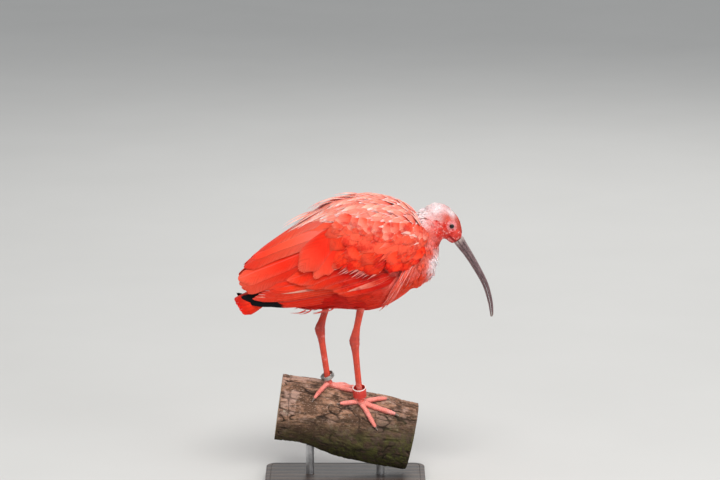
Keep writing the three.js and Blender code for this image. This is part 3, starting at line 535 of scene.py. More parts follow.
def shares_of(shape, stations):
    table = {
        "contour": [[0, 0.3], [0.2, 0.72], [0.5, 1], [0.8, 0.9], [1, 0.5]],
        "soft": [[0, 0.3], [0.25, 0.85], [0.55, 1], [0.85, 0.72], [1, 0.3]],
        "hackle": [[0, 0.4], [0.25, 0.95], [0.5, 0.9], [0.8, 0.45], [1, 0.06]],
        "covert": [[0, 0.4], [0.3, 0.9], [0.6, 1], [0.76, 0.99], [0.85, 0.93], [0.92, 0.8], [1, 0.5]],
        "flight": [[0, 0.25], [0.15, 0.6], [0.4, 0.9], [0.85, 1], [0.95, 0.86], [1, 0.5]],
        "scapular": [[0, 0.4], [0.3, 0.95], [0.6, 0.95], [0.85, 0.6], [1, 0.16]],
        "tertial": [[0, 0.3], [0.2, 0.8], [0.5, 1], [0.86, 1], [0.94, 0.9], [0.98, 0.72], [1, 0.5]]
    }[shape]
    return [float(np.interp(s, [r[0] for r in table], [r[1] for r in table])) for s in stations]


def make_templates(kinds, salt, shape, rows, columns, tip_round, fray):
    draws = random_draws(salt)
    stations = np.linspace(0, 1, rows) ** 0.85
    shares = shares_of(shape, stations)
    return [vane_template(stations, shares, columns, tip_round, fray, draws) for _ in range(kinds)]


def stamp(templates, kinds, place):
    """Fills arrays with one copy of its template for each feather. place works out the points."""
    tables, start = [], 0
    for k, template in enumerate(templates):
        chosen = np.flatnonzero(kinds == k)
        if not len(chosen):
            continue
        points = place(template, chosen)
        count = points.shape[1]
        shift = start + np.arange(len(chosen)) * count
        triangles = (template["faces"][None] + shift[:, None, None]).reshape(-1, 3)
        along, across = (np.tile(template[key], len(chosen)) for key in ("s", "b"))
        tables.append((points.reshape(-1, 3), triangles, np.repeat(chosen, count), along, across))
        start += len(chosen) * count
    return [np.concatenate(table) for table in zip(*tables)]


def feather_floats(owner, s, b, lengths, halves, extra):
    """The values that the feather material reads along and across each vane."""
    barb = s * lengths[owner] * 0.62 - np.abs(b) * halves[owner] * 0.78
    return {"along": s, "across": b, "barb": barb} | {name: values[owner] for name, values in extra.items()}


# Plumage by place in the side view: x, z, colour, feather length, and the lie's direction
MARKS = [
    # The white at the crown, (134, 421) and (155, 412), is a painted sheen from the sky.
    (134, 421, "white", 4.2, -0.95, 0.1), (115, 414, "white", 5.5, -0.85, -0.5),
    (107, 398, "white", 6.5, -0.8, -0.6), (155, 412, "white", 3.6, -0.7, 0.7),
    (168, 398, "coral", 3, -0.4, 0.9), (171, 379, "face", 2.6, -0.3, 0.9), (150, 406, "coral", 3, -0.8, 0.5),
    (144, 396, "face", 3, -0.9, 0.3), (136, 402, "pink", 3.6, -0.95, 0.2),
    (138, 388, "face", 3.2, -0.95, -0.1), (125, 403, "pink", 4.6, -0.85, -0.4),
    (146, 374, "face", 3, -0.9, -0.3), (133, 368, "face", 4, -0.7, -0.7),
    (118, 384, "coral", 6.5, -0.75, -0.65), (158, 360, "face", 3, -0.7, -0.5),
    (97, 384, "salmon", 11, -0.7, -0.7), (122, 360, "coral", 6, -0.3, -0.95),
    (134, 362, "pink", 6, -0.15, -1), (130, 350, "white", 7, -0.15, -1), (133, 334, "white", 7, -0.15, -1),
    (136, 344, "white", 6.5, -0.15, -1), (134, 323, "white", 6, -0.15, -1),
    (127, 313, "coral", 6, -0.5, -0.85), (113, 346, "coral", 8, -0.35, -0.95),
    (114, 327, "orange", 8.5, -0.4, -0.9), (108, 318, "orange", 9, -0.5, -0.85),
    (116, 297, "orange", 7, -0.85, -0.5), (96, 288, "orange", 13, -0.95, -0.3),
    # The deep red places low on the belly and flank, (44, 272), (-7, 273), (-65, 273) and (0, 300), are
    # painted shade on the underside.
    (72, 278, "scarlet", 14, -1, -0.1), (97, 313, "orange", 13, -0.75, -0.65), (44, 272, "deep", 14, -1, 0),
    (-7, 273, "deep", 14, -1, 0), (-65, 273, "deep", 14, -1, 0), (-112, 285, "scarlet", 15, -0.95, -0.3),
    (51, 308, "scarlet", 15, -0.9, -0.4), (0, 300, "deep", 15, -0.95, -0.3),
    (100, 414, "salmon", 13, -0.9, -0.3), (80, 420, "peach", 15, -0.98, -0.1), (65, 430, "salmon", 16, -1, 0),
    (36, 430, "salmon", 17, -1, 0), (7, 432, "peach", 18, -1, -0.1), (-29, 424, "salmon", 18, -0.95, -0.3),
    (-48, 408, "coral", 18, -0.88, -0.45), (-80, 385, "coral", 18, -0.85, -0.5),
    (-116, 345, "scarlet", 17, -0.85, -0.5)
]


def marking(points):
    """Colour, feather length and lie of the plumage at points, blended from the table of places."""
    table = np.array([[m[0], m[1], m[3], m[4], m[5]] for m in MARKS], float)
    tints = np.array([shade(m[2]) for m in MARKS])
    gap = np.linalg.norm(points[:, None, ::2] - table[None, :, :2], axis=-1)
    weight = 1 / (gap + 2.5) ** 4
    weight /= weight.sum(axis=1, keepdims=True)
    return weight @ tints, weight @ table[:, 2], weight @ table[:, 3:]


def around_body(points):
    """Place of a point on an unwrap of the skin: along the bird's axis and round it, both 0 to 1."""
    axis = np.array(
        [[-125, 300], [-60, 338], [40, 352], [88, 345], [108, 362], [130, 398], [163, 371]], float
    )
    starts, ends = axis[:-1], axis[1:]
    spans = ends - starts
    lengths = np.linalg.norm(spans, axis=1)
    before = np.concatenate([[0], np.cumsum(lengths)[:-1]])
    flat = points[:, None, ::2] - starts
    t = np.clip((flat * spans).sum(-1) / lengths**2, 0, 1)
    away = flat - t[..., None] * spans
    nearest = np.linalg.norm(away, axis=-1).argmin(axis=1)
    row = np.arange(len(points))
    heading = spans[nearest] / lengths[nearest][:, None]
    up = away[row, nearest, 0] * -heading[:, 1] + away[row, nearest, 1] * heading[:, 0]
    along = (before[nearest] + t[row, nearest] * lengths[nearest]) / lengths.sum()
    return np.stack([along, np.arctan2(points[:, 1], up) / (2 * math.pi) + 0.5], axis=-1)


# Shader building


class Value:
    """A socket that a node gives out, for plain sums and products."""

    def __init__(self, socket):
        self.socket, self.tree = socket, socket.id_data

    def __add__(self, other):
        return calc("ADD", self, other)

    def __sub__(self, other):
        return calc("SUBTRACT", self, other)

    def __mul__(self, other):
        return calc("MULTIPLY", self, other)


def feed(socket, value):
    """Links a value to a socket, or sets a plain number or colour on it."""
    if isinstance(value, Value):
        value.tree.links.new(value.socket, socket)
    else:
        socket.default_value = value


def put(tree, kind, settings=None, output=0, **inputs):
    """Adds a node. Inputs are named for its sockets, or _3 for the socket of that number."""
    node = tree.nodes.new(kind)
    for key, value in (settings or {}).items():
        setattr(node, key, value)
    for key, value in inputs.items():
        feed(node.inputs[int(key[1:])] if key[0] == "_" else node.inputs[key.replace("_", " ")], value)
    return Value(node.outputs[output])


def calc(operation, *values):
    tree = next(v.tree for v in values if isinstance(v, Value))
    return put(tree, "ShaderNodeMath", {"operation": operation}, **{f"_{i}": v for i, v in enumerate(values)})


def blend(factor, a, b, mode="MIX"):
    """Mixes two colours, each a value, three numbers or a colour's name from the panel."""
    tree = next(v.tree for v in (factor, a, b) if isinstance(v, Value))
    plain = lambda v: (*(shade(v) if isinstance(v, str) else v), 1)
    a, b = (v if isinstance(v, Value) else plain(v) for v in (a, b))
    settings = {"data_type": "RGBA", "blend_type": mode}
    return put(tree, "ShaderNodeMix", settings, 2, _0=factor, _6=a, _7=b)


def ramp(value, low, high, start=0.0, end=1.0, kind="SMOOTHSTEP"):
    settings = {"interpolation_type": kind}
    sockets = {"From_Min": low, "From_Max": high, "To_Min": start, "To_Max": end}
    return put(value.tree, "ShaderNodeMapRange", settings, Value=value, **sockets)


def attribute(tree, name, output="Fac"):
    return put(tree, "ShaderNodeAttribute", {"attribute_name": name}, output)


def place_of(tree):
    return put(tree, "ShaderNodeTexCoord", output="Object")


def noise(vector, scale, detail=3.0, rough=0.55, distortion=0.0):
    sockets = {"Scale": scale, "Detail": detail, "Roughness": rough, "Distortion": distortion}
    return put(vector.tree, "ShaderNodeTexNoise", Vector=vector, **sockets)


def stretched(vector, *scale):
    return put(vector.tree, "ShaderNodeMapping", Vector=vector, Scale=scale)


def part_of(vector, axis):
    return put(vector.tree, "ShaderNodeSeparateXYZ", output=axis, Vector=vector)


def spot_at(x, y):
    return put(x.tree, "ShaderNodeCombineXYZ", X=x, Y=y, Z=0.0)


def net(vector, scale, random=1.0, feature="DISTANCE_TO_EDGE"):
    """Distance from the lines, or from the middles, of a net of irregular cells."""
    settings = {"feature": feature}
    return put(
        vector.tree, "ShaderNodeTexVoronoi", settings, "Distance", Vector=vector, Scale=scale,
        Randomness=random
    )


def with_value(colour, value):
    return put(colour.tree, "ShaderNodeHueSaturation", output="Color", Color=colour, Value=value)


def group(name, inputs, outputs, build):
    """A shader node group, made once. Each socket comes with its kind, or with its default number."""
    tree = bpy.data.node_groups.get(name)
    if tree:
        return tree
    tree = bpy.data.node_groups.new(name, "ShaderNodeTree")
    for direction, sockets in (("INPUT", inputs), ("OUTPUT", outputs)):
        for label, given in sockets.items():
            kind = given if isinstance(given, str) else "Float"
            made = tree.interface.new_socket(label, in_out=direction, socket_type="NodeSocket" + kind)
            if kind != given:
                made.default_value = given
    start, end = tree.nodes.new("NodeGroupInput"), tree.nodes.new("NodeGroupOutput")
    for label, value in build({label: Value(start.outputs[label]) for label in inputs}).items():
        feed(end.inputs[label], value)
    return tree


def use(tree, made, **inputs):
    """Places a node group in a tree and returns its outputs by name."""
    node = put(tree, "ShaderNodeGroup", {"node_tree": made}, **inputs).socket.node
    return {socket.name: Value(socket) for socket in node.outputs}


def mottled(colour, vector, scale, amount):
    """A colour that varies softly, by patches and fine specks."""

    def build(start):
        patches = noise(start["Vector"], start["Scale"], 4.0, 0.6)
        both = patches * 0.7 + noise(start["Vector"], start["Scale"] * 9.0, 2.0) * 0.3
        value = calc("MULTIPLY_ADD", ramp(both, 0.3, 0.7, -1.0, 1.0, "LINEAR"), start["Amount"], 1.0)
        return {"Color": with_value(start["Color"], value), "Mask": both}

    inputs = {"Color": "Color", "Vector": "Vector", "Scale": 60.0, "Amount": 0.15}
    made = group("Mottle", inputs, {"Color": "Color", "Mask": "Float"}, build)
    return use(vector.tree, made, Color=colour, Vector=vector, Scale=scale, Amount=amount)["Color"]


def barbs_group():
    """Fine barbs of a vane on both sides of its shaft, as a height and a shade."""

    def build(start):
        across = start["Across"]
        q = start["Barb"] + noise(start["Vector"], 240.0, 2.0) * start["Wander"]
        wave = calc("SINE", q * calc("DIVIDE", 6.2832, start["Pitch"]))
        shaft = ramp(calc("DIVIDE", calc("ABSOLUTE", across), start["Quill"]), 0.6, 1.4, 1.0, 0.0)
        lane = calc("MULTIPLY_ADD", across, 0.6, start["Tone"] * 57.0)
        strand = ramp(noise(spot_at(q, lane), 0.75, 3.0, 0.7), 0.3, 0.7, 0.0, 1.0, "LINEAR")
        height = wave * 0.06 + shaft * 0.7 + strand * 0.8
        return {"Height": height, "Shade": wave, "Shaft": shaft, "Strand": strand}

    inputs = {
        "Vector": "Vector", "Barb": 0.0, "Across": 0.0, "Pitch": 1.0, "Wander": 1.5, "Tone": 0.5,
        "Quill": 0.05
    }
    return group("Barbs", inputs, dict.fromkeys(("Height", "Shade", "Shaft", "Strand"), "Float"), build)


def surface_material(name, build):
    """A material with one Principled shader. build puts its sockets in."""
    m = bpy.data.materials.get(name)
    if m:
        return m
    m = bpy.data.materials.new(name)
    m.use_nodes = True
    tree = m.node_tree
    tree.nodes.clear()
    shader, out = (tree.nodes.new("ShaderNode" + kind) for kind in ("BsdfPrincipled", "OutputMaterial"))
    tree.links.new(shader.outputs[0], out.inputs["Surface"])
    for socket, value in build(tree).items():
        feed(shader.inputs[socket], value)
    return m


def bump(height, distance, strength=1.0):
    return put(height.tree, "ShaderNodeBump", Height=height, Distance=distance, Strength=strength)


def feather_material(name, pitch, streak, rough, edge, root_shade=0.6, quill=0.05, uneven=0.2):
    """Feather vanes: the tint darkened towards the root as painted shade under the vanes above, barbs in
    strands, pale shafts and edges, black tips.
    """

    def build(tree):
        where, base = place_of(tree), attribute(tree, "tint", "Color")
        along, across, tone, barb = (attribute(tree, n) for n in ("along", "across", "tone", "barb"))
        lie = {"Vector": where, "Barb": barb, "Across": across, "Tone": tone}
        barbs = use(tree, barbs_group(), Pitch=pitch, Wander=1.2, Quill=quill, **lie)
        strand = barbs["Strand"]
        # deep: the tint darkened towards deep red, used for painted shade and for random darker patches.
        deep = blend(0.8, base, "deep", "MULTIPLY")
        patch = ramp(noise(where, 75.0, 4.0, 0.6), 0.47, 0.64, 0.0, uneven)
        patch = patch * ramp(part_of(where, "X"), -0.03, 0.0)
        # Towards the root the tint is darkened as painted shade where the vanes above overlap it; the patches
        # are random darker tone.
        shaded = blend(patch, blend(ramp(along, 0.0, 0.7, root_shade, 0.0), base, deep), deep)
        fibre = calc("MULTIPLY_ADD", barbs["Shade"], 0.03, strand - 0.5)
        value = calc("MULTIPLY_ADD", fibre, streak, calc("MULTIPLY_ADD", tone, 0.24, 0.9))
        rim = calc("MAXIMUM", ramp(calc("ABSOLUTE", across), 0.55, 1.05), ramp(along, 0.8, 1.02))
        pale = rim * ramp(strand, 0.1, 0.8, 0.35, 1.3) * attribute(tree, "rim")
        # A negative rim darkens the vane's edges towards deep red: painted shade along the edges of
        # overlapping vanes.
        edge_shaded = blend(pale * -1.0, with_value(shaded, value), "deep", "MULTIPLY")
        lined = blend(barbs["Shaft"] * attribute(tree, "shaft"), blend(pale, edge_shaded, edge), "white")
        return {
            "Base Color": blend(ramp(attribute(tree, "ink") + strand * 0.5, -0.2, 0.4), lined, "ink"),
            "Roughness": rough, "Specular IOR Level": 0.12, "Subsurface Weight": 0.2,
            "Subsurface Radius": (1.0, 0.25, 0.15), "Subsurface Scale": 0.003,
            "Normal": bump(barbs["Height"], 0.0003, 0.8)
        }

    return surface_material(name, build)


def skin_material():
    def build(tree):
        where, bare = place_of(tree), attribute(tree, "bare")
        folds = ramp(net(where, 620.0), 0.0, 0.25)
        spots = noise(where, 210.0, 4.0, 0.65)
        skin = mottled(attribute(tree, "tint", "Color"), where, 190.0, 0.5)
        skin = blend(ramp(spots, 0.5, 0.66) * bare, skin, "deep")
        skin = blend(ramp(spots, 0.47, 0.3) * bare, skin, "pink")
        # Darker in the creases of the skin's fine folds: painted shade.
        skin = blend(ramp(folds, 1.0, 0.0) * 0.3, skin, "deep")
        bristles = ramp(net(where, 290.0, feature="F1"), 0.34, 0.2) * (ramp(spots, 0.56, 0.42) * bare)
        skin = blend(bristles * 0.55, skin, "pink")
        # Near black where groove is set, in the gape's crease and round the eye socket: painted shade.
        return {
            "Base Color": blend(attribute(tree, "groove"), skin, (0.13, 0.012, 0.02)),
            "Roughness": ramp(bare, 0.0, 1.0, 0.85, 0.5), "Specular IOR Level": 0.35,
            "Normal": bump(folds + spots * 1.5, 0.00045, 0.8)
        }

    return surface_material("Skin", build)


# Pieces


def gape_line(back, up):
    """Height over the line in which the bill's gape runs into the cheek."""
    return up + 2.6 + 0.25 * back


def from_eye(back, up):
    return np.hypot((back - EYE_BACK) / 1.08, (up - EYE_UP) / 0.96)


def build_skin():
    """One skin over torso, neck, head and thighs, fused so that no seam shows."""
    sizes = bpy.context.scene.ibis_sizes
    depth = sizes.coat_depth / MM
    bm = bmesh.new()
    turn = turns(48)
    side = np.where(turn > math.pi, LEFT, RIGHT)
    angle = np.clip(np.where(side == LEFT, 2 * math.pi - turn, turn), 0.001, math.pi - 0.001)
    rings = []
    for x in np.linspace(-114, 128, 44):
        point, normal, _, _ = surface_frame(envelope, np.full(48, x), angle, side, 0.2)
        share, drop, rise = (smooth_value(RUMP, k, x) for k in (1, 2, 3))
        top, bottom = smooth_value(WING_BED, 1, x), smooth_value(WING_BED, 2, x)
        bed = step(bottom - 2, bottom + 9, point[:, 2]) * step(top + 4, top - 8, point[:, 2])
        bed *= step(-78, -58, x) * step(120, 106, x)
        point[:, 2] += rise * np.maximum(-np.cos(angle), 0) - drop * np.maximum(np.cos(angle), 0)
        point[:, 1] *= share * (np.abs(np.sin(turn)) > 1e-3)
        rings.append(point - unit(normal * np.array([0, 1, 1])) * (depth + 5.5 * bed)[:, None])
    loft(bm, rings)
    table = [[i, *row] for i, row in enumerate(NECK)]
    neck = []
    for i in np.linspace(0, len(NECK) - 1, 16):
        x, z, deep, half = (smooth_value(table, k, i) for k in (1, 2, 3, 4))
        neck.append([x, 0, z, deep - mix(2.8, 1.4, i / 5), half - mix(2.8, 1.4, i / 5)])
    loft(bm, limb_rings(neck, 40))
    rings = []
    turn = turns(40)
    up = np.cos(turn)
    for back in np.linspace(0, 65, 34):
        crown, chin, half = (smooth_value(HEAD, k, back) - 0.5 for k in (1, 2, 3))
        tall = np.where(up > 0, crown, chin)[:, None] * up[:, None] * HEAD_UP
        wide = (half * signed_power(np.sin(turn), 0.9))[:, None] * SIDEWAYS
        rings.append(HEAD_ROOT + back * HEAD_AXIS + tall + wide)
    loft(bm, rings)
    for _, belly, heel, _ in LEGS.values():
        belly, heel = np.array(belly, float), np.array(heel, float)
        thigh = ((0.86, 6.2), (0.98, 8.5), (1.2, 13), (1.5, 17))
        loft(bm, limb_rings([[*mix(heel, belly, t), r, r * 0.9] for t, r in thigh], 20))
    ob = fused(from_bmesh("skin", bm), sizes.skin_voxel)
    points = mesh_points(ob.data)
    x, z = points[:, 0], points[:, 2]
    points[:, 0] -= 0.9 * np.maximum(x - 84 - 2.03 * (z - 292.5), 0) * step(288, 295, z) * step(318, 308, z)
    points[:, 0] -= 4 * step(86, 100, x) * step(288, 300, z) * step(324, 306, z)
    set_points(ob.data, points)

    def refine(bm):
        smooth_out(bm, 5)
        back, up = head_coordinates(
            np.array([list(e.verts[0].co + e.verts[1].co) for e in bm.edges]) / (2 * MM)
        )
        near = np.hypot(back - EYE_BACK, up - EYE_UP) < 11
        near |= (back > -4) & (back < 13) & (np.abs(gape_line(back, up)) < 4)
        near = [e for e, n in zip(bm.edges, near) if n]
        bmesh.ops.subdivide_edges(bm, edges=near, cuts=2, use_grid_fill=True)

    rework(ob.data, refine)
    shape_face(ob.data)
    return finish_piece(ob, ["torso", "neck", "head"], skin_material())


def shape_face(me):
    """Lids, the mouth's corner and soft folds on the head, with the skin's markings."""
    points, normals = mesh_points(me), mesh_normals(me)
    back, up = head_coordinates(points)
    y = np.abs(points[:, 1])
    on_head = step(66, 58, back) * step(116, 124, points[:, 0]) * step(-22, -18.5, up)
    outer = step(6.5, 9.5, y) * on_head
    d = from_eye(back, up)
    lid = bell(d - 5.0, 0.75) * 0.9 + bell(d - 7.6, 0.9) * 0.35
    moved = (lid - 0.35 * bell(d - 6.3, 0.5) - step(4.4, 3.6, d) * 3.4) * outer
    line = gape_line(back, up)
    gape = bell(line, 0.8) * step(16, 12, back) * step(5, 7, y) * on_head
    lips = bell(np.abs(line) - 1.5, 0.7) * step(11.5, 8, back) * on_head
    moved += -0.9 * gape + 0.35 * lips
    cheek = step(44, 36, back) * step(0, 3, back) * on_head
    folds = lumps(points, 3.2, 5) * 0.32 + lumps(points, 1.7, 9) * 0.14
    moved += folds * cheek * step(12, 3, up) * step(4.4, 7, d)
    set_points(me, points + normals * moved[:, None])
    bare = np.clip(step(41, 33, back + 1.1 * (up - 2)) * step(12, 8.5, up) * on_head, 0, 1)
    redness = np.clip(bare * (0.55 + 0.45 * lumps(points, 7, 3)), 0, 1)
    tint = mix(marking(points)[0], shade("face"), redness[:, None])
    tint = mix(tint, shade("lid"), 0.85 * (step(8.4, 7.0, d) * outer)[:, None])
    flush = 0.9 * bell(line, 2.8) * step(21, 13, back) * on_head
    tint = mix(tint, shade("deep") * [0.8, 1, 3], flush[:, None])
    # groove: the gape's crease and the ring where the skin dips into the eye socket, painted near black there
    # as shade.
    groove = np.clip(gape * 0.8 + step(4.5, 3.9, d) * outer, 0, 1)
    put_attributes(me, {"bare": bare, "groove": groove}, tint)


def skin_tree(me):
    """Search tree of the skin in mm, with its triangles' corners."""
    me.calc_loop_triangles()
    points, corners = mesh_points(me), read_mesh(me.loop_triangles, "vertices")
    tree = BVHTree.FromPolygons([Vector(p) for p in points], corners.tolist(), all_triangles=True)
    return tree, points, corners


def scatter(points, corners, keep, gap_at, draws):
    """Even random places on the skin: positions and normals, gap_at apart where keep allows."""
    a, b, c = (points[corners[:, k]] for k in range(3))
    cross = np.cross(b - a, c - a)
    area = np.linalg.norm(cross, axis=1) / 2
    centre = (a + b + c) / 3
    chance = np.where(keep(centre), area / gap_at(centre) ** 2 * 4.5, 0)
    count = draws.poisson(chance)
    pick = np.repeat(np.arange(len(corners)), count)
    u, v = np.sqrt(draws.random(len(pick))), draws.random(len(pick))
    spots = (1 - u)[:, None] * a[pick] + (u * (1 - v))[:, None] * b[pick] + (u * v)[:, None] * c[pick]
    normals = unit(cross[pick])
    gap = gap_at(spots)
    tree = KDTree(len(spots))
    for i, p in enumerate(spots):
        tree.insert(p, i)
    tree.balance()
    alive, chosen = np.ones(len(spots), bool), []
    for i in draws.permutation(len(spots)):
        if alive[i]:
            chosen.append(i)
            for _, j, _ in tree.find_range(spots[i], gap[i]):
                alive[j] = False
    return spots[chosen], normals[chosen]


def rising(lifts, chosen, s):
    """Height of a vane over its bed, from the first lift at the root to the second at the tip."""
    return mix(lifts[chosen, :1], lifts[chosen, 1:], 1 - (1 - np.clip(s, 0, 1)) ** 2)


def lay_on_skin(tree, roots, normals, lie, lengths, halves, lifts, spread):
    """Places feathers that follow the skin."""
    tangent = unit(lie - normals * (lie * normals).sum(-1, keepdims=True))
    across = np.cross(normals, tangent)
    cos, sin = np.cos(spread)[:, None], np.sin(spread)[:, None]
    tangent, across = tangent * cos + across * sin, across * cos - tangent * sin

    def place(template, chosen):
        s, b, w, under = (template[k][None, :, None] for k in ("s", "b", "w", "low"))
        size, half = lengths[chosen][:, None, None], halves[chosen][:, None, None]
        flat = roots[chosen][:, None] + tangent[chosen][:, None] * s * size
        flat = flat + across[chosen][:, None] * b * w * half
        found = np.array([[tree.find_nearest(p)[:2] for p in row] for row in flat])
        arch = 0.08 * half * (1 - b**2) * w
        height = rising(lifts, chosen, s[..., 0])[..., None] + arch - under * (0.12 + 0.8 * arch)
        return found[:, :, 0] + found[:, :, 1] * height

    return place


VANE_THICKNESS = 0.5  # between a vane's two sides at its shaft (mm)


def lay_on_surface(surface, side, roots, tips, halves, lifts, lean=0.15, arch=0.1, bow=0.0):
    """Places vanes along a surface of two parameters, from roots to tips."""
    lean, bow = (np.broadcast_to(np.asarray(v, float), (len(roots),)) for v in (lean, bow))

    def place(template, chosen):
        s, b, w, under = (template[k][None] for k in ("s", "b", "w", "low"))
        span_p, span_q = (tips[chosen] - roots[chosen]).T[..., None]
        p, q = roots[chosen, :1] + span_p * s, roots[chosen, 1:] + span_q * s
        size = 0.002 if abs(span_p).max() < 2 else 0.2
        frame_at = lambda p, q: surface_frame(surface, p, q, np.full(p.shape, side), size)
        _, _, dp, dq = frame_at(p, q)
        heading = unit(dp * span_p[..., None] + dq * span_q[..., None])
        across = unit(dq - heading * (dq * heading).sum(-1, keepdims=True))
        pp, pq, qq = (dp * dp).sum(-1), (dp * dq).sum(-1), (dq * dq).sum(-1)
        cp, cq = (across * dp).sum(-1), (across * dq).sum(-1)
        det = pp * qq - pq * pq
        half = halves[chosen][:, None]
        aside = b * w * half + bow[chosen][:, None] * s * s
        q_side = q + (cq * pp - cp * pq) / det * aside
        if surface is envelope:
            q_side = np.maximum(q_side, 0.02)
        point, normal, _, _ = frame_at(p + (cp * qq - cq * pq) / det * aside, q_side)
        crown = arch * half * w * (1 - b * b)
        height = rising(lifts, chosen, s) + lean[chosen][:, None] * b * w * half
        height = height + crown + VANE_THICKNESS * 0.5 * (1 - b * b) - under * (VANE_THICKNESS + 0.5 * crown)
        return point + normal * height[..., None]

    return place


def facing_out(points, triangles):
    """Triangles turned so that the closed shapes hold a positive volume."""
    a, b, c = (points[triangles[:, k]] - points.mean(axis=0) for k in range(3))
    return triangles if (a * np.cross(b, c)).sum() > 0 else triangles[:, ::-1]


def lengths_between(surface, roots, tips, side):
    t = np.linspace(0, 1, 9)
    p, q = mix(roots[:, :1], tips[:, :1], t), mix(roots[:, 1:], tips[:, 1:], t)
    path = surface(p, q, np.full(p.shape, side))
    return np.linalg.norm(np.diff(path, axis=1), axis=-1).sum(axis=1)


def cells(owner, s, b, count):
    """A cell of the map for each vane."""
    n = math.ceil(math.sqrt(max(count, 1)))
    x, y = owner % n, owner // n
    return np.stack([(x + 0.5 + 0.42 * b) / n, (y + 0.06 + 0.86 * np.clip(s, -0.04, 1.04)) / n], axis=-1)


def patches(owner, s, b, roots):
    """A patch of about 0.003 for each tuft, at its root's place on the unwrap of the skin."""
    home = 0.02 + 0.96 * around_body(roots)[owner]
    return home + 0.0014 * np.stack([b, 2 * np.clip(s, 0, 1.1) - 1], axis=-1)


# Coats of small feathers: slot, rows and columns of the vane, fray, gap, half width, height over the
# skin, length, pale edge, pale shaft
COATS = {
    "coat_head": ("head_plumage", 4, 3, 0.1, 0.24, 0.2, 0.3, 1, 0.9, 0.4),
    "coat_neck": ("neck_plumage", 5, 5, 0.2, 0.26, 0.22, 1.2, 1.15, 0.8, 0.4),
    "coat_belly": ("plumage", 7, 5, 0.3, 0.22, 0.16, 0.3, 1.9, 0.05, 0.0),
    "coat_back": ("plumage", 7, 5, 0.2, 0.24, 0.2, 0.4, 1.6, 0.7, 0.4)
}


def region(p):
    """Number of the coat that a point belongs to, or -1 on bare skin and under the wings."""
    back, up = head_coordinates(p)
    x, z = p[:, 0], p[:, 2]
    head = (x > 106) & (up > -27) & (z > 355)
    neck = ~head & ((x > 84) & (z - 345 > -0.9 * (x - 84) - 40) & (z > 300))
    upper = ~head & ~neck & (z > 345 + 0.25 * np.minimum(x + 40, 0))
    face = (back + 1.1 * (up - 2) < 35) & (up < 10) | (from_eye(back, up) < 8) | (back < 2.5)
    bare = (x > 116) & (back < 66) & (up > -19.5) & face
    top, bottom = smooth_value(WING_BED, 1, x), smooth_value(WING_BED, 2, x)
    wing = (z > bottom + 8) & (z < top - 8) & (np.abs(p[:, 1]) > 20) & (x > -55) & (x < 104)
    return np.where(bare | wing, -1, np.where(head, 0, np.where(neck, 1, np.where(upper, 3, 2))))


def build_coat(skin):
    """Small feathers over head, neck, breast, belly, thighs and back, set by region."""
    scale = bpy.context.scene.ibis_sizes.feather_scale
    tree, points, corners = skin_tree(skin.data)
    for number, (name, coat) in enumerate(COATS.items()):
        slot, rows, columns, fray, gap, half, high, reach, rim, shaft = coat
        draws = random_draws(20 + number)
        keep = lambda p: region(p) == number
        roots, normals = scatter(points, corners, keep, lambda p: gap * marking(p)[1] * scale, draws)
        x, y, z = roots.T
        tint, lengths, flow = marking(roots)
        count = len(roots)
        lengths = lengths * scale * draws.uniform(0.85, 1.25, count) * reach
        halves = lengths * half * draws.uniform(0.85, 1.15, count)
        lie = np.stack([flow[:, 0], 0.12 * np.sign(y) * (np.abs(y) > 4), flow[:, 1]], axis=-1)
        templates = make_templates(4, 40 + number, "soft", rows, columns, 0.16, fray)
        spread = draws.normal(0, 0.16, count)
        tall = high * draws.uniform(0.5, 1.5, count) * np.where(draws.random(count) < 0.12, 2.4, 1)
        tall = tall + 0.03 * lengths
        if number < 2:
            lengths = lengths * mix(0.6, 1, step(300, 326, z))
            tall = tall * step(300, 326, z) + 1.2 * step(116, 128, x) * step(318, 336, z) * step(374, 352, z)
            level = step(0.2, 0.7, normals[:, 2])
            tall = tall + 6 * step(98, 110, x) * step(127, 119, x) * step(392, 404, z) * level
        place = lay_on_skin(tree, roots, normals, unit(lie), lengths, halves, pairs(-0.5, tall), spread)
        kinds = draws.integers(0, 4, count)
        made, triangles, owner, s, b = stamp(templates, kinds, place)
        pale = np.clip(0.1 + 0.35 * lumps(roots, 9, 30 + number), 0, 1)
        tint = tint * (1 + 0.1 * lumps(roots, 14, 60 + number))[:, None]
        if number < 2:
            fleck = (draws.random(count) < 0.3) * draws.uniform(0.15, 0.45, count) * (0.5 + 0.5 * number)
            tint = mix(tint, shade("coral"), fleck[:, None])
        edged = step(290, 335, z) * (step(115, 124, x) if number == 1 else 1)
        extra = {"tone": draws.random(count), "rim": pale * rim * edged}
        extra |= {"shaft": (draws.random(count) < 0.3) * shaft, "ink": np.full(count, -2.0)}
        floats = feather_floats(owner, s, b, lengths, halves, extra)
        map_places = patches(owner, s, b, roots)
        ob = from_triangles(name, made, facing_out(made, triangles), floats, tint[owner], map_places)
        if number < 2:
            vanes = feather_material("Head feathers", 0.8, 0.4, 0.7, "white", 0.05)
        else:
            vanes = feather_material("Body feathers", 0.9, 0.35, 0.65, "pink", 0.3)
        finish_piece(ob, (), vanes)


# A negative rim paints shade along a vane's edges in place of a pale edge.
def look(shape, grid, colours, rim=0.1, shaft=0.05, black=-20.0):
    """A vane's shape and grid, its tip and fray, its colours from root to tip, and how it is finished."""
    return {"shape": (shape, *grid), "colours": colours.split(), "rim": rim, "shaft": shaft, "black": black}


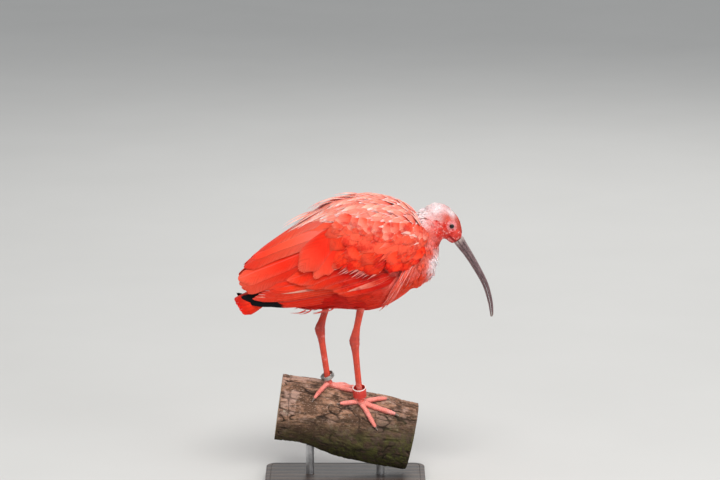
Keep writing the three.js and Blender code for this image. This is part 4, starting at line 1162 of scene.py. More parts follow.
class Vanes:
    """Gathers the vanes of one piece, tier by tier, before they become a mesh."""

    def __init__(self, salt):
        self.draws = random_draws(salt)
        self.salt = salt
        self.parts = []
        self.count = 0

    def add(self, surface, side, roots, tips, halves, low, high, look, **lay):
        """A tier of vanes with their lifts at root and tip. The numbers may be one for all of them."""
        count = len(roots)
        halves, low, high, black = (np.broadcast_to(v, (count,)) for v in (halves, low, high, look["black"]))
        self.salt += 1
        templates = make_templates(3, self.salt, *look["shape"])
        kinds = self.draws.integers(0, 3, count)
        place = lay_on_surface(surface, side, roots, tips, halves, pairs(low, high), **lay)
        points, triangles, owner, s, b = stamp(templates, kinds, place)
        lengths = lengths_between(surface, roots, tips, side)
        named = np.array([shade(name) for name in look["colours"]])
        t = np.clip(s, 0, 1) * (len(named) - 1)
        i = np.minimum(t.astype(int), len(named) - 2)
        tint = mix(named[i], named[i + 1], (t - i)[:, None])
        tint = tint * self.draws.uniform(0.9, 1.08, count)[owner][:, None]
        extra = {
            "tone": self.draws.random(count), "rim": look["rim"] * self.draws.uniform(0.3, 1.3, count),
            "shaft": look["shaft"] * self.draws.uniform(0.2, 1.2, count)
        }
        floats = feather_floats(owner, s, b, lengths, halves, extra)
        floats["ink"] = (black[owner] + 9 * b - (1 - s) * lengths[owner]) / 4
        self.parts.append((points, facing_out(points, triangles), owner + self.count, s, b, floats, tint))
        self.count += count

    def row(self, side, control, count, look, jitter=1.0, **lay):
        """A tier on the plumage from control rows: place in the tier, root, tip, half width, two lifts."""
        t = np.linspace(0, 1, count)
        loose = lambda size: self.draws.normal(0, size, count) * jitter
        x, z, tip_x, tip_z, half, low, high = (smooth_value(control, k, t) for k in range(1, 8))
        x, tip_x, tip_z = x + loose(0.8), tip_x + loose(1.3), tip_z + loose(0.8)
        halves = half * (1 + self.draws.uniform(-0.07, 0.07, count) * jitter)
        high = high + loose(0.25)
        self.add(envelope, side, place_at(x, z), place_at(tip_x, tip_z), halves, low, high, look, **lay)

    def build(self, name, slot, replaced, material):
        points, triangles, owner, s, b, floats, tint = zip(*self.parts)
        starts = np.cumsum([0] + [len(p) for p in points])
        triangles = np.concatenate([t + start for t, start in zip(triangles, starts)])
        floats = {key: np.concatenate([f[key] for f in floats]) for key in floats[0]}
        points, owner, s, b, tint = (np.concatenate(v) for v in (points, owner, s, b, tint))
        ob = from_triangles(name, points, triangles, floats, tint, cells(owner, s, b, self.count))
        return finish_piece(ob, replaced, material)


# Tiers of a folded wing, the lowest first: number of feathers, looseness, lean, arch, look, and the control
# rows (place in the tier, root x and z, tip x and z, half width, lift at root and tip)
CALM, LOOSE = 0.3, 2.3
# Deep red in a tier's colours and a negative rim are painted shade: at the roots and lower edges of the
# median coverts, and in the middle of the greater coverts where the median coverts' tips overlap them.
WING_TIERS = {
    "primaries": (
        4, CALM, 0.25, 0.06,
        look(
            "flight", (22, 7, 0.03, 0.006), "orange scarlet scarlet", shaft=0.1,
            black=np.array([17, 37, 50, 56])
        ),
        [
            (0, 18, 288, -114, 275.5, 5.5, -6.4, -4.6), (0.33, 8, 292, -134, 277.5, 6, -6.4, -4.2),
            (0.66, 0, 297, -147, 282, 6.5, -6.4, -3.9), (1, -6, 303, -152, 289.5, 6.5, -6.4, -4.2)
        ]
    ),
    # The third secondary's strong pale shaft is a painted highlight streak.
    "secondaries": (
        7, CALM, 0.17, 0.07,
        look(
            "flight", (20, 9, 0.04, 0.008), "scarlet orange scarlet",
            shaft=np.array([0.1, 0.2, 1.2, 0.1, 0.5, 0.1, 0.1])
        ), [(0, 46, 301, -135, 288, 6.0, -6.2, -3.0), (1, 4, 328, -108, 309, 8.5, -6.0, -2.4)]
    ),
    "greater coverts": (
        6, LOOSE, 0.15, 0.1, look("tertial", (15, 9, 0.06, 0.02), "scarlet deep scarlet orange"),
        [
            (0, 76, 324, -8, 304, 8, -5.8, -1.2), (0.5, 52, 340, -44, 309, 10, -5.6, -0.6),
            (1, 14, 356, -80, 320, 11, -5.6, 0)
        ]
    ),
    "pale feather": (
        1, CALM, 0.1, 0.1, look("hackle", (14, 7, 0.1, 0.06), "scarlet coral salmon peach", 0.3),
        [(0, 66, 327, -2, 305, 4.6, -5, 0.1), (1, 66, 327, -2, 305, 4.6, -5, 0.1)]
    ),
    # Thin peach vanes over the secondaries: a painted highlight streak.
    "pale streaks": (
        2, CALM, 0.1, 0.3, look("hackle", (12, 5, 0.05, 0.01), "orange peach peach", 0.7),
        [(0, -32, 310, -93, 299, 2.0, -3.4, -1.6), (1, -100, 294.5, -130, 291, 1.0, -3.0, -2.2)]
    ),
    "frayed tips": (
        13, LOOSE, 0.05, 0.15, look("hackle", (11, 5, 0.1, 0.1), "coral salmon pink", 0.6, 0.4),
        [(0, 56, 343, 29, 326, 2.2, -1.5, 1.0), (1, 4, 360, -33, 341, 2.8, -1.5, 1.6)]
    ),
    "lower tertials": (
        3, CALM, 0.12, 0.13, look("tertial", (22, 11, 0.05, 0.006), "coral scarlet coral", 0.08),
        [(0, -16, 344, -151, 304, 10, -5.8, -2.0), (1, -26, 378, -155, 316.5, 15.5, -5.2, -0.5)]
    ),
    "upper tertials": (
        3, CALM, 0.12, 0.13, look("tertial", (22, 11, 0.05, 0.006), "salmon coral scarlet", 0.08),
        [(0, -20, 384, -146, 332, 13.5, -2.4, 0.6), (1, -24, 408, -124, 354, 12.5, -1.6, 1.0)]
    ),
    "inner coverts": (
        3, LOOSE, 0.06, 0.2, look("covert", (18, 15, 0.12, 0.02), "orange scarlet coral", 0.1, 0),
        [
            (0, 14, 376, -24, 342, 12, -4.8, 1.4), (0.5, 4, 392, -46, 331, 15, -4.8, 2.4),
            (1, -6, 402, -69, 334, 18.5, -4.8, 3.6)
        ]
    ),
    "median coverts": (
        6, LOOSE, 0.03, 0.07, look("covert", (14, 15, 0.13, 0.1), "deep scarlet orange scarlet", -0.6, 0.0),
        [
            (0, 116, 366, 100, 352, 9, -3.6, 1.0), (0.3, 98, 362, 73, 338, 13.5, -3.6, 1.9),
            (0.6, 64, 366, 32, 335, 16, -3.6, 2.3), (1, 18, 388, -20, 352, 15.5, -3.6, 2.5)
        ]
    ),
    "upper median coverts": (
        7, LOOSE, 0.03, 0.07, look("covert", (14, 15, 0.13, 0.12), "deep scarlet orange coral", -0.4, 0.0),
        [
            (0, 120, 372, 109, 360, 9, -3.2, 1.5), (0.4, 98, 376, 72, 352, 13.5, -3.2, 2.4),
            (0.7, 60, 382, 26, 354, 15.5, -3.2, 2.8), (1, 14, 398, -18, 370, 14.5, -3.2, 3.0)
        ]
    ),
    "third median coverts": (
        9, LOOSE, 0.03, 0.07, look("covert", (12, 15, 0.13, 0.14), "scarlet coral coral coral", -0.15, 0.0),
        [
            (0, 121, 378, 111, 367, 8, -3.0, 1.7), (0.4, 98, 386, 74, 365, 11.5, -3.0, 2.6),
            (0.7, 62, 394, 28, 370, 13.5, -3.0, 3.0), (1, 8, 406, -22, 385, 12.5, -3.0, 3.1)
        ]
    )
}
# Loose narrow tips between the coverts: heights of the lowest and highest roots, number, colours
LOOSE_TIPS = (
    (352, 372, 30, "deep scarlet orange"), (366, 388, 36, "scarlet coral coral"),
    (380, 400, 30, "coral coral salmon")
)
# Plain vanes deep in the wing, where the tertials and the mantle would leave a slit; the first pair is deep
# red, a painted shadow in the slit between the tertials.
FILLERS = (
    ("scarlet deep", [(0, -24, 366, -142, 318, 12, -6.0, -2.4), (1, -30, 392, -126, 341, 12, -5.2, -1.6)]),
    ("coral coral", [(0, 4, 396, -46, 378, 12, -4.2, -1.2), (1, 0, 412, -56, 394, 13, -4.2, -0.8)])
)
LESSER_ROWS = 5


def build_wing(side):
    """Folded wing: flight feathers and coverts in overlapping tiers."""
    wing = Vanes(100 if side == RIGHT else 150)
    for name, (count, jitter, lean, arch, tier, control) in WING_TIERS.items():
        if name == "primaries" and side == LEFT:
            control = [(*row[:3], row[3] - 8 * row[0], *row[4:]) for row in control]
        wing.row(side, control, count, tier, jitter, lean=lean, arch=arch)
    for k in range(LESSER_ROWS):
        f = k / (LESSER_ROWS - 1)
        control = [
            (0, 121, mix(380, 386, f), mix(106, 112, f), mix(370, 380, f), 7, -3.4, 2.2),
            (0.45, mix(86, 92, f), mix(396, 404, f), mix(64, 72, f), mix(378, 392, f), 9.5, -3.6, 3.3),
            (1, mix(12, 20, f), mix(408, 414, f), mix(-22, -8, f), mix(392, 404, f), 10.5, -3.6, 3.6)
        ]
        shades = "scarlet coral coral" if k < 3 else "coral coral salmon"
        tier = look("covert", (9, 13, 0.14, 0.08), shades, 0.05 + 0.08 * k, 0.02)
        wing.row(side, control, 13 + k % 2, tier, 2.4, lean=0.05, arch=0.12)
    draws = wing.draws
    for low, high, count, shades in LOOSE_TIPS:
        x = draws.uniform(4, 116, count)
        z = mix(low, high, draws.random(count)) - 8 * step(70, 116, x)
        reach = draws.uniform(16, 26, count) * mix(1, 0.6, step(70, 116, x))
        roots, tips = place_at(x, z), place_at(x - reach, z - 0.62 * reach)
        halves, high_tip = draws.uniform(2.2, 3.8, count), draws.uniform(2.8, 3.8, count)
        tier = look("hackle", (9, 5, 0.12, 0.1), shades, 0.12)
        lay = {"lean": 0.05, "arch": 0.12, "bow": draws.normal(0, 1.5, count)}
        wing.add(envelope, side, roots, tips, halves, 0.0, high_tip, tier, **lay)
    for shades, control in FILLERS:
        tier = look("tertial", (16, 7, 0.06, 0.006), shades, 0.05, 0.0)
        wing.row(side, control, 2, tier, CALM, lean=0.1, arch=0.06)
    name = "right" if side == RIGHT else "left"
    vanes = feather_material("Wing feathers", 1.6, 0.22, 0.55, "peach", uneven=0.8)
    return wing.build(f"feathers_wing_{name}", "wing_feathers", [f"wing_{name}"], vanes)


# Loose wisps that stand out of the outline at the back and by the neck: root x and angle in degrees,
# tip x and angle, half width, lift of the tip
WISPS = [
    [-22, 14, -74, 13, 4.4, 2.2], [-14, 24, -66, 26, 4.2, 1.6], [4, 8, -44, 6, 4.2, 4.5],
    [-34, 22, -84, 14, 4.4, 1.8], [24, 5, -22, 4, 4.2, 3.5], [-40, 8, -84, 8, 5, 9], [-12, 6, -51, 5, 5, 7],
    [26, 4, -12, 3, 5, 6], [112, 14, 92, 17, 5.2, 2.4], [113, 24, 94, 33, 4.6, 2.6],
    [115, 34, 97, 45, 4.6, 2.8], [116, 44, 99, 57, 4.2, 3], [117, 52, 98, 68, 4.2, 3.2],
    [112, 48, 90, 60, 3.4, 4.5], [104, 50, 78, 60, 3.4, 4.5], [92, 52, 62, 60, 3.4, 4.2],
    [78, 50, 46, 58, 3.4, 4], [56, 48, 20, 56, 3.4, 4], [30, 45, -8, 52, 3.4, 4]
]
MANTLE_VANE = ("scapular", (11, 9, 0.12, 0.16))


def build_mantle():
    """Long soft feathers of the mantle and shoulders, over the wings' upper edges."""
    mantle = Vanes(200)
    draws = mantle.draws
    for side in (RIGHT, LEFT):
        for r, angle in enumerate((4, 10, 17, 24, 30, 36, 41)):
            count = 12
            x = np.linspace(110 - 1.2 * r, -26 + 3 * r, count) + draws.normal(0, 1.6, count)
            x = x - (6 if r % 2 else 0)
            far = (110 - x) / 140
            reach = mix(22, 52, np.clip(far, 0, 1)) * draws.uniform(0.9, 1.15, count)
            root = angle + draws.normal(0, 1.5, count)
            tip_x = x - reach
            most = np.interp(tip_x, [-85, -65, -36, 0, 36, 71, 106], [12, 26, 34, 44, 49, 51, 48])
            tip = np.minimum(
                root + mix(7, 12, far) + draws.normal(0, 2, count), most + draws.normal(0, 1.5, count)
            )
            high = mix(0.0, 1.3, r / 6) + draws.normal(0.2, 0.5, count)
            high = high - (1.3 + 0.12 * r) * step(0, -45, tip_x)
            halves = mix(7, 9.5, far) * draws.uniform(0.8, 1.15, count)
            tier = look(*MANTLE_VANE, "coral salmon peach" if r % 2 else "coral salmon salmon", 0.65, 0.15)
            lay = {"lean": 0.06, "arch": 0.12, "bow": draws.normal(0, 1.5, count)}
            roots, tips = pairs(x, root * DEG), pairs(tip_x, tip * DEG)
            mantle.add(envelope, side, roots, tips, halves, -4.5, high, tier, **lay)
        wisps = np.array(WISPS) + draws.normal(0, 1.0, (len(WISPS), 6)) * [1, 1, 1, 1, 0.2, 0.8]
        roots, tips = wisps[:, 0:2] * [1, DEG], wisps[:, 2:4] * [1, DEG]
        tier = look("hackle", (9, 5, 0.1, 0.06), "salmon peach pink", 0.7, 0.3)
        lay = {"lean": 0.1, "bow": draws.normal(0, 3, len(wisps))}
        mantle.add(envelope, side, roots, tips, wisps[:, 4], -2.0, wisps[:, 5], tier, **lay)
    count = 20
    x = np.linspace(104, -62, count) + draws.normal(0, 1.5, count)
    reach = np.interp(x, [-60, 0, 104], [44, 44, 22]) * draws.uniform(0.9, 1.1, count)
    root, tip = (draws.normal(0, size, count) * DEG for size in (2.5, 3.5))
    halves = np.interp(x, [-60, 0, 104], [9, 8.5, 6.5]) * draws.uniform(0.9, 1.15, count)
    high = np.interp(x, [-62, -30, 0, 104], [-3.5, 0.0, 1.0, 0.8])
    tier = look(*MANTLE_VANE, "coral salmon peach", 0.8, 0.15)
    lay = {"lean": 0, "arch": 0.1, "bow": draws.normal(0, 1.2, count)}
    mantle.add(over_ridge, RIGHT, pairs(x, root), pairs(x - reach, tip), halves, -4.0, high, tier, **lay)
    vanes = feather_material("Mantle feathers", 1.3, 0.35, 0.65, "white")
    return mantle.build("feathers_mantle", "plumage", (), vanes)


def build_hackles():
    """Long pointed feathers that hang over the wing's front edge and the breast."""
    hackles = Vanes(260)
    draws = hackles.draws
    for side in (RIGHT, LEFT):
        for row, count in enumerate((10, 9, 7)):
            t = np.linspace(0, 1, count)
            root_x = mix(110, 86, t) - 7 * row + draws.normal(0, 1.5, count)
            root_a = mix(80, 112, t) + 6 * row + draws.normal(0, 2, count)
            reach = mix(24, 36, t) + draws.normal(0, 2.5, count)
            tip_a = np.minimum(root_a + reach * 1.05 + draws.normal(0, 3, count), 172)
            roots, tips = pairs(root_x, root_a * DEG), pairs(root_x - reach * 0.72, tip_a * DEG)
            halves, high = draws.uniform(2.4, 3.6, count), draws.uniform(0.6, 3.0, count)
            tier = look("hackle", (10, 7, 0.1, 0.05), "scarlet coral coral", 0.3, 0.35)
            lay = {"lean": 0.05, "arch": 0.16, "bow": draws.normal(0, 1.5, count)}
            hackles.add(envelope, side, roots, tips, halves, -3.2, high, tier, **lay)
        count = 9
        x = draws.uniform(-58, -14, count)
        root_a = draws.uniform(150, 165, count) * DEG
        tips = pairs(x - draws.uniform(16, 24, count), draws.uniform(162, 174, count) * DEG)
        halves, high = draws.uniform(2.0, 3.0, count), draws.uniform(0.8, 3.2, count)
        tier = look("hackle", (9, 5, 0.1, 0.1), "scarlet coral salmon", 0.3, 0.2)
        hackles.add(envelope, side, pairs(x, root_a), tips, halves, -1.5, high, tier, lean=0.05)
    vanes = feather_material("Hackles", 1.2, 0.35, 0.65, "pink", quill=0.22)
    return hackles.build("feathers_breast", "plumage", (), vanes)


def build_tail():
    """Twelve tail feathers round an arched fan, with coverts over their roots."""
    tail = Vanes(300)
    draws = tail.draws
    fan = (np.arange(12) / 11 - 0.5) * TAIL_SPREAD
    tips = pairs(0.97 + 0.05 * np.abs(np.linspace(-1, 1, 12)) - 0.015 * draws.random(12), fan)
    rise = 0.5 * np.cos(fan)
    # The negative rim darkens the tail feathers' edges as painted shade between them.
    tier = look("tertial", (16, 9, 0.04, 0.004), "scarlet orange scarlet", -0.8, 0.1)
    low, high, lay = rise - 0.6, rise + 0.6, {"lean": 0.14 * np.sign(fan), "arch": 0.12}
    tail.add(tail_surface, RIGHT, pairs(-0.15, fan), tips, 11.5, low, high, tier, **lay)
    for end, count, high, width in ((0.4, 15, 2.6, 1), (0.62, 13, 1.8, 0.9)):
        turn = np.linspace(-170, 170, count) * DEG * width
        tips = pairs(end + draws.normal(0, 0.05, count), turn + draws.normal(0, 0.05, count))
        tier = look("contour", (9, 7, 0.2, 0.05), "coral scarlet scarlet", 0.3)
        lay = {"lean": 0.12 * np.sign(turn), "arch": 0.15}
        tail.add(tail_surface, RIGHT, pairs(-0.3, turn), tips, 6.0, 1.5, high, tier, **lay)
    vanes = feather_material("Tail feathers", 1.1, 0.3, 0.5, "peach")
    return tail.build("feathers_tail", "wing_feathers", ["tail"], vanes)


def build_eyes():
    radius = bpy.context.scene.ibis_sizes.eye_radius / MM

    def build(tree):
        r = attribute(tree, "radial")
        iris = blend(noise(place_of(tree), 900.0, 2.0), (0.02, 0.008, 0.005), (0.05, 0.018, 0.01))
        seen = blend(ramp(r, 1.9, 2.3), (0.002, 0.002, 0.002), iris)
        return {
            "Base Color": blend(ramp(r, 3.2, 3.5), seen, shade("lid", 0.75)),
            "Roughness": ramp(r, 3.1, 3.6, 0.06, 0.5), "Specular IOR Level": 0.4
        }

    made = surface_material("Eye", build)
    for name, side in (("right", RIGHT), ("left", LEFT)):
        bm = bmesh.new()
        bmesh.ops.create_uvsphere(bm, u_segments=40, v_segments=24, radius=radius)
        for v in bm.verts:
            v.co *= 1 + 0.035 * max(v.co.y * side / radius, 0) ** 6
        radial = [math.hypot(v.co.x, v.co.z) for v in bm.verts]
        bmesh.ops.translate(bm, verts=bm.verts, vec=head_point(EYE_BACK, EYE_UP, side * EYE_SIDE))
        ob = from_bmesh(f"eyeball_{name}", bm)
        put_attributes(ob.data, {"radial": radial})
        finish_piece(ob, [f"eye_{name}"], made)


def horn_material(total):
    """Horn of the bill, whose marks depend on the way along its whole length."""

    def build(tree):
        along = attribute(tree, "along")
        vector = spot_at(along * 0.035, attribute(tree, "around"))
        streak, fine = noise(vector, 2.4, 5.0, 0.65), noise(vector, 9.0, 3.0, 0.6)
        share = calc("DIVIDE", along, total)
        horn = blend(ramp(streak, 0.38, 0.6), shade("horn", 0.06), shade("horn", 0.7))
        horn = blend(ramp(fine, 0.42, 0.6, 0.0, 0.75), horn, (0.13, 0.035, 0.05))
        # pale: streaks of the horn, and also a painted highlight, strongest near the base.
        pale = ramp(fine, 0.47, 0.6) * ramp(streak, 0.44, 0.56)
        horn = blend(pale * ramp(share, 0.0, 0.5, 0.95, 0.45), horn, (0.56, 0.4, 0.39))
        # Paler along the ridge of each half: painted highlight.
        horn = blend(attribute(tree, "ridge") * 0.65, horn, (0.38, 0.29, 0.28))
        horn = blend(ramp(share, 0.07, 0.0, 0.0, 0.75), horn, (0.45, 0.36, 0.33))
        horn = blend(ramp(share, 0.93, 1.0, 0.0, 0.5), horn, (0.42, 0.33, 0.27))
        # Near black where groove is set: painted shade in the bill's grooves, nostril slits and between its
        # halves.
        return {
            "Base Color": blend(attribute(tree, "groove"), horn, (0.03, 0.012, 0.014)),
            "Roughness": ramp(fine, 0.3, 0.7, 0.32, 0.5), "Specular IOR Level": 0.5, "Coat Weight": 0.15,
            "Normal": bump(streak * 1.5 + fine, 0.00025, 0.7)
        }

    return surface_material("Bill horn", build)


def build_bill():
    """Both halves of the bill, with its side grooves, cutting edges and nostrils."""
    count, arc, flat = 150, 27, 5
    table = [[i, *row] for i, row in enumerate(BILL)]
    t = np.linspace(0, len(BILL) - 1, count)
    x, z, upper_deep, lower_deep, half = (smooth_value(table, k, t) for k in range(1, 6))
    centres = np.stack([x, 0 * t, z], axis=-1)
    heading = unit(np.gradient(centres, axis=0))
    up = np.stack([-heading[:, 2], 0 * half, heading[:, 0]], axis=-1)
    way = walked(centres)
    phi = np.linspace(0, math.pi, arc)
    on_both_sides = lambda at, width: bell(phi - at, width) + bell(math.pi - phi - at, width)
    cut, low, lip = on_both_sides(0.66, 0.13), on_both_sides(0.95, 0.2), on_both_sides(0, 0.09)
    flush = np.zeros(flat)
    for name, deep, sign, narrow in (("upper", upper_deep, 1, 1.0), ("lower", lower_deep, -1, 0.93)):
        upper = name == "upper"
        rings, rows = [], []
        for i in range(count):
            fade = step(0, 3, way[i]) * step(way[-1] * 0.97, way[-1] * 0.8, way[i])
            slit = bell(way[i] - 9.5, 3.4, 4) * cut * upper
            dent = 1 - (0.15 * cut if upper else 0.08 * low) * fade - 0.16 * slit
            wave = 1 + 0.02 * lumps(np.stack([phi * 0 + way[i], phi * 3, phi * 0], axis=-1), 5, 11)
            width = half[i] * narrow * signed_power(np.cos(phi), 0.85) * dent * wave
            tall = (deep[i] - 0.25) * np.sin(phi) ** 0.9 * dent
            y = np.concatenate([width, np.linspace(width[-1], width[0], flat + 2)[1:-1]])
            h = np.concatenate([tall, flush]) + 0.25
            rings.append(centres[i] + y[:, None] * SIDEWAYS + sign * h[:, None] * up[i])
            around = np.concatenate([phi * max(half[i], 1.5), flush]) + (0 if upper else 40)
            # dark: painted shade in the nostril slit, the side grooves and the seam between the halves; the
            # flat inner faces get it in full.
            dark = np.clip(1.1 * slit + 0.35 * cut * fade * upper + 0.5 * lip, 0, 1)
            ridge = np.concatenate([bell(phi - math.pi / 2, 0.5), flush])
            rows.append([np.full(arc + flat, way[i]), around, ridge, np.concatenate([dark, flush + 1])])
        bm = bmesh.new()
        loft(bm, rings)
        ob = from_bmesh(f"bill_{name}_horn", bm)
        values = np.concatenate(rows, axis=1)
        put_attributes(ob.data, dict(zip(("along", "around", "ridge", "groove"), values)))
        finish_piece(ob, [f"bill_{name}"], horn_material(way[-1]))


# Legs: half depth and half width of the shank, heel and thigh
SHANK, HEEL, THIGH = (4.9, 3.9), (7.6, 5.8), (5.6, 5.0)
# Places along the shank, at the heel and along the thigh, with shares of the half depth and half width
SHANK_PLACES = ((0, 1.15, 1.3), (0.08, 0.94, 1.05), (0.3, 0.93, 0.95), (0.7, 1, 1), (0.86, 1.22, 1.2))
HEEL_PLACES, THIGH_PLACES = ((0.03, 0.94, 0.98), (0.16, 0.78, 0.86)), (
    (0.34, 0.88, 0.88), (0.7, 1, 1), (1.02, 1.4, 1.4)
)
TOE_SHARES = [0, 0.16, 0.34, 0.44, 0.62, 0.72, 0.88, 1]
TOE_SWELL = [1.15, 1.1, 0.95, 1.1, 0.88, 1.02, 0.82, 0.62]


def footing(name):
    """Place along the branch and turn round it of a foot, its hub, heel and belly point."""
    _, belly, heel, (x, y) = LEGS[name]
    turn = math.asin((BRANCH_SIDE - y) / BRANCH_RADIUS)
    x -= BRANCH_RADIUS * math.cos(turn) * math.sin(float(branch_slope(x)))
    return x, turn, branch_point(x, turn, HUB_HEIGHT), np.array(heel, float), np.array(belly, float)


def toe_path(name, toe, share, over):
    """Points along a toe that lies on the bark, that far over it, and the outward direction there."""
    heading, reach, _ = TOES[name][toe]
    x, turn, *_ = footing(name)
    h = heading * DEG
    along = x + math.cos(h) * math.cos(float(branch_slope(x))) * reach * np.asarray(share)
    around = turn + math.sin(h) * reach * np.asarray(share) / BRANCH_RADIUS
    point = branch_point(along, around, over)
    return point, unit(branch_point(along, around, np.asarray(over) + 1) - point)


def leg_material():
    def build(tree):
        where, along = place_of(tree), attribute(tree, "along")
        walk = calc("DIVIDE", along + noise(where, 130.0, 2.0) * 1.1, 2.5)
        scutes = ramp(calc("PINGPONG", walk, 0.5), 0.0, 0.1)
        scales = ramp(net(spot_at(along, attribute(tree, "around")), 0.62, 0.75), 0.0, 0.14)
        on_top = ramp(attribute(tree, "top"), 0.25, 0.6)
        flat = put(tree, "ShaderNodeMix", _0=on_top, _2=scales, _3=scutes)
        worn = noise(where, 75.0, 5.0, 0.7)
        skin = blend(attribute(tree, "toe"), "leg", (0.88, 0.25, 0.2))
        skin = blend(attribute(tree, "heel") * 0.85, skin, (0.42, 0.05, 0.035))
        skin = mottled(skin, where, 120.0, 0.22)
        skin = blend(ramp(worn, 0.5, 0.72, 0.0, 0.5), skin, "pink")
        # Darker in the creases between the scales and scutes: painted shade.
        skin = blend(ramp(flat, 1.0, 0.0, 0.0, 0.5), skin, (0.36, 0.03, 0.025))
        return {
            "Base Color": blend(ramp(worn, 0.42, 0.3, 0.0, 0.45), skin, (0.42, 0.045, 0.03)),
            "Roughness": ramp(worn, 0.3, 0.7, 0.38, 0.6), "Specular IOR Level": 0.45,
            "Normal": bump(flat + worn * 0.5, 0.0004, 0.9)
        }

    return surface_material("Leg skin", build)


def ball(bm, place, radius, around, high):
    matrix = Matrix.Translation(place)
    bmesh.ops.create_uvsphere(bm, u_segments=around, v_segments=high, radius=radius, matrix=matrix)


def build_leg(name):
    """Shank, heel, thigh, and toes with their pads, fused into one skin."""
    _, turn, hub, heel, belly = footing(name)
    bm = bmesh.new()
    path = [[*mix(hub, heel, t), SHANK[0] * deep, SHANK[1] * half] for t, deep, half in SHANK_PLACES]
    path.append([*mix(hub, heel, 0.95), HEEL[0] * 0.98, HEEL[1]])
    for size, places in ((HEEL, HEEL_PLACES), (THIGH, THIGH_PLACES)):
        path += [[*mix(heel, belly, t), size[0] * deep, size[1] * half] for t, deep, half in places]
    table = [[i, *row] for i, row in enumerate(path)]
    fine = np.linspace(0, len(path) - 1, 60)
    limb = np.stack([smooth_value(table, k, fine) for k in range(1, 6)], axis=-1)
    loft(bm, limb_rings(limb, 28))
    ball(bm, hub - [0, 0, 1.2], 6.1, 24, 16)
    back = unit(np.cross(heel - hub, SIDEWAYS))
    ball(bm, heel + back * (2.6 if back[0] < 0 else -2.6), 5.0, 20, 14)
    lines = [(limb[:, :3], 0)]
    for number, (toe, (_, reach, r)) in enumerate(TOES[name].items()):
        share = np.linspace(0, 1, 34)
        swell = np.interp(share, TOE_SHARES, TOE_SWELL) * r
        swell = np.convolve(np.pad(swell, 1, mode="edge"), [0.25, 0.5, 0.25], "valid")
        pads = 1 + 0.06 * np.cos(share * reach / 8.5 * 2 * math.pi)
        centres, ups = toe_path(name, toe, share, r * 0.72 + 0.35)
        loft(bm, path_rings(centres, ups, swell * 0.95, swell * pads, 20))
        ball(bm, centres[-1], swell[-1] * 0.96, 14, 10)
        lines.append((centres, 200 * (number + 1)))
    ob = fused(from_bmesh(f"leg_skin_{name}", bm), bpy.context.scene.ibis_sizes.leg_voxel)
    rework(ob.data, lambda bm: smooth_out(bm, 4))
    points, normals = mesh_points(ob.data), mesh_normals(ob.data)
    best = np.full(len(points), 1e9)
    along, around, top, toes = (np.zeros(len(points)) for _ in range(4))
    for line, offset in lines:
        gap = np.linalg.norm(points[:, None] - line[None], axis=-1)
        j = np.clip(gap.argmin(axis=1), 1, len(line) - 2)
        ahead = unit(line[j + 1] - line[j - 1])
        off = points - line[j]
        forward = (off * ahead).sum(-1)
        up = np.array([0, -math.sin(turn), math.cos(turn)] if offset else [1.0, 0, 0])
        up = unit(up - ahead * (ahead * up).sum(-1, keepdims=True))
        flat = off - ahead * forward[:, None]
        angle = np.arctan2((flat * np.cross(ahead, up)).sum(-1), (flat * up).sum(-1))
        gap = gap.min(axis=1)
        nearer = gap < best
        best = np.where(nearer, gap, best)
        along = np.where(nearer, walked(line)[j] + forward + offset, along)
        around = np.where(nearer, angle * 4.0, around)
        top = np.where(nearer, np.cos(angle), top)
        toes = np.where(nearer, offset > 0, toes)
    heel_near = bell(np.linalg.norm(points - heel, axis=1), 11)
    groove = np.abs((along / 2.5) % 1 - 0.5) * 2
    dent = -0.14 * step(0.75, 1, groove) * step(0.2, 0.6, top) + 0.1 * lumps(points, 1.8, 4)
    dent = dent + heel_near * (0.7 * lumps(points, 4.2, 8) + 0.3 * lumps(points, 2.1, 3)) + 0.45 * toes
    set_points(ob.data, points + normals * dent[:, None])
    put_attributes(ob.data, {"along": along, "around": around, "top": top, "heel": heel_near, "toe": toes})
    replaced = [f"tibia_{name}", f"tarsus_{name}", f"foot_{name}"]
    finish_piece(ob, replaced, leg_material())


def build_claws(name):
    """Blunt curved claws, flat below."""

    def build(tree):
        grain = noise(place_of(tree), 420.0, 4.0, 0.6)
        horn = blend(ramp(grain, 0.35, 0.65), (0.12, 0.08, 0.065), "claw")
        return {
            "Base Color": blend(ramp(attribute(tree, "along"), 0.5, 1.0, 0.0, 0.6), horn, (0.5, 0.42, 0.36)),
            "Roughness": ramp(grain, 0.3, 0.7, 0.3, 0.5), "Specular IOR Level": 0.5,
            "Normal": bump(grain, 0.0003, 0.6)
        }

    bm = bmesh.new()
    t = np.linspace(0, 1, 14)
    for toe, (_, reach, r) in TOES[name].items():
        over = np.interp(t, [0, 0.4, 0.75, 1], [0.68 * r, 0.66 * r, 0.46 * r, 0.75])
        size = r * np.interp(t, [0, 0.2, 0.4, 0.75, 0.93, 1], [0.55, 0.54, 0.46, 0.3, 0.15, 0.05])
        centres, ups = toe_path(name, toe, 1 + (0.1 + 7.6 * t) / reach, over)
        rings = path_rings(centres, ups, size * 1.05, size * 0.92, 14)
        for ring, centre, up, s in zip(rings, centres, ups, size):
            depth = (ring - centre) @ up
            ring += up * np.where(depth < -0.55 * s, -0.55 * s - depth, 0)[:, None]
        loft(bm, rings)
    ob = from_bmesh(f"claw_set_{name}", bm)
    put_attributes(ob.data, {"along": np.tile(np.repeat(t, 14), len(TOES[name]))})
    finish_piece(
        ob, [f"claw_{name}_{toe}" for toe in TOES[name]], surface_material("Claw horn", build)
    )


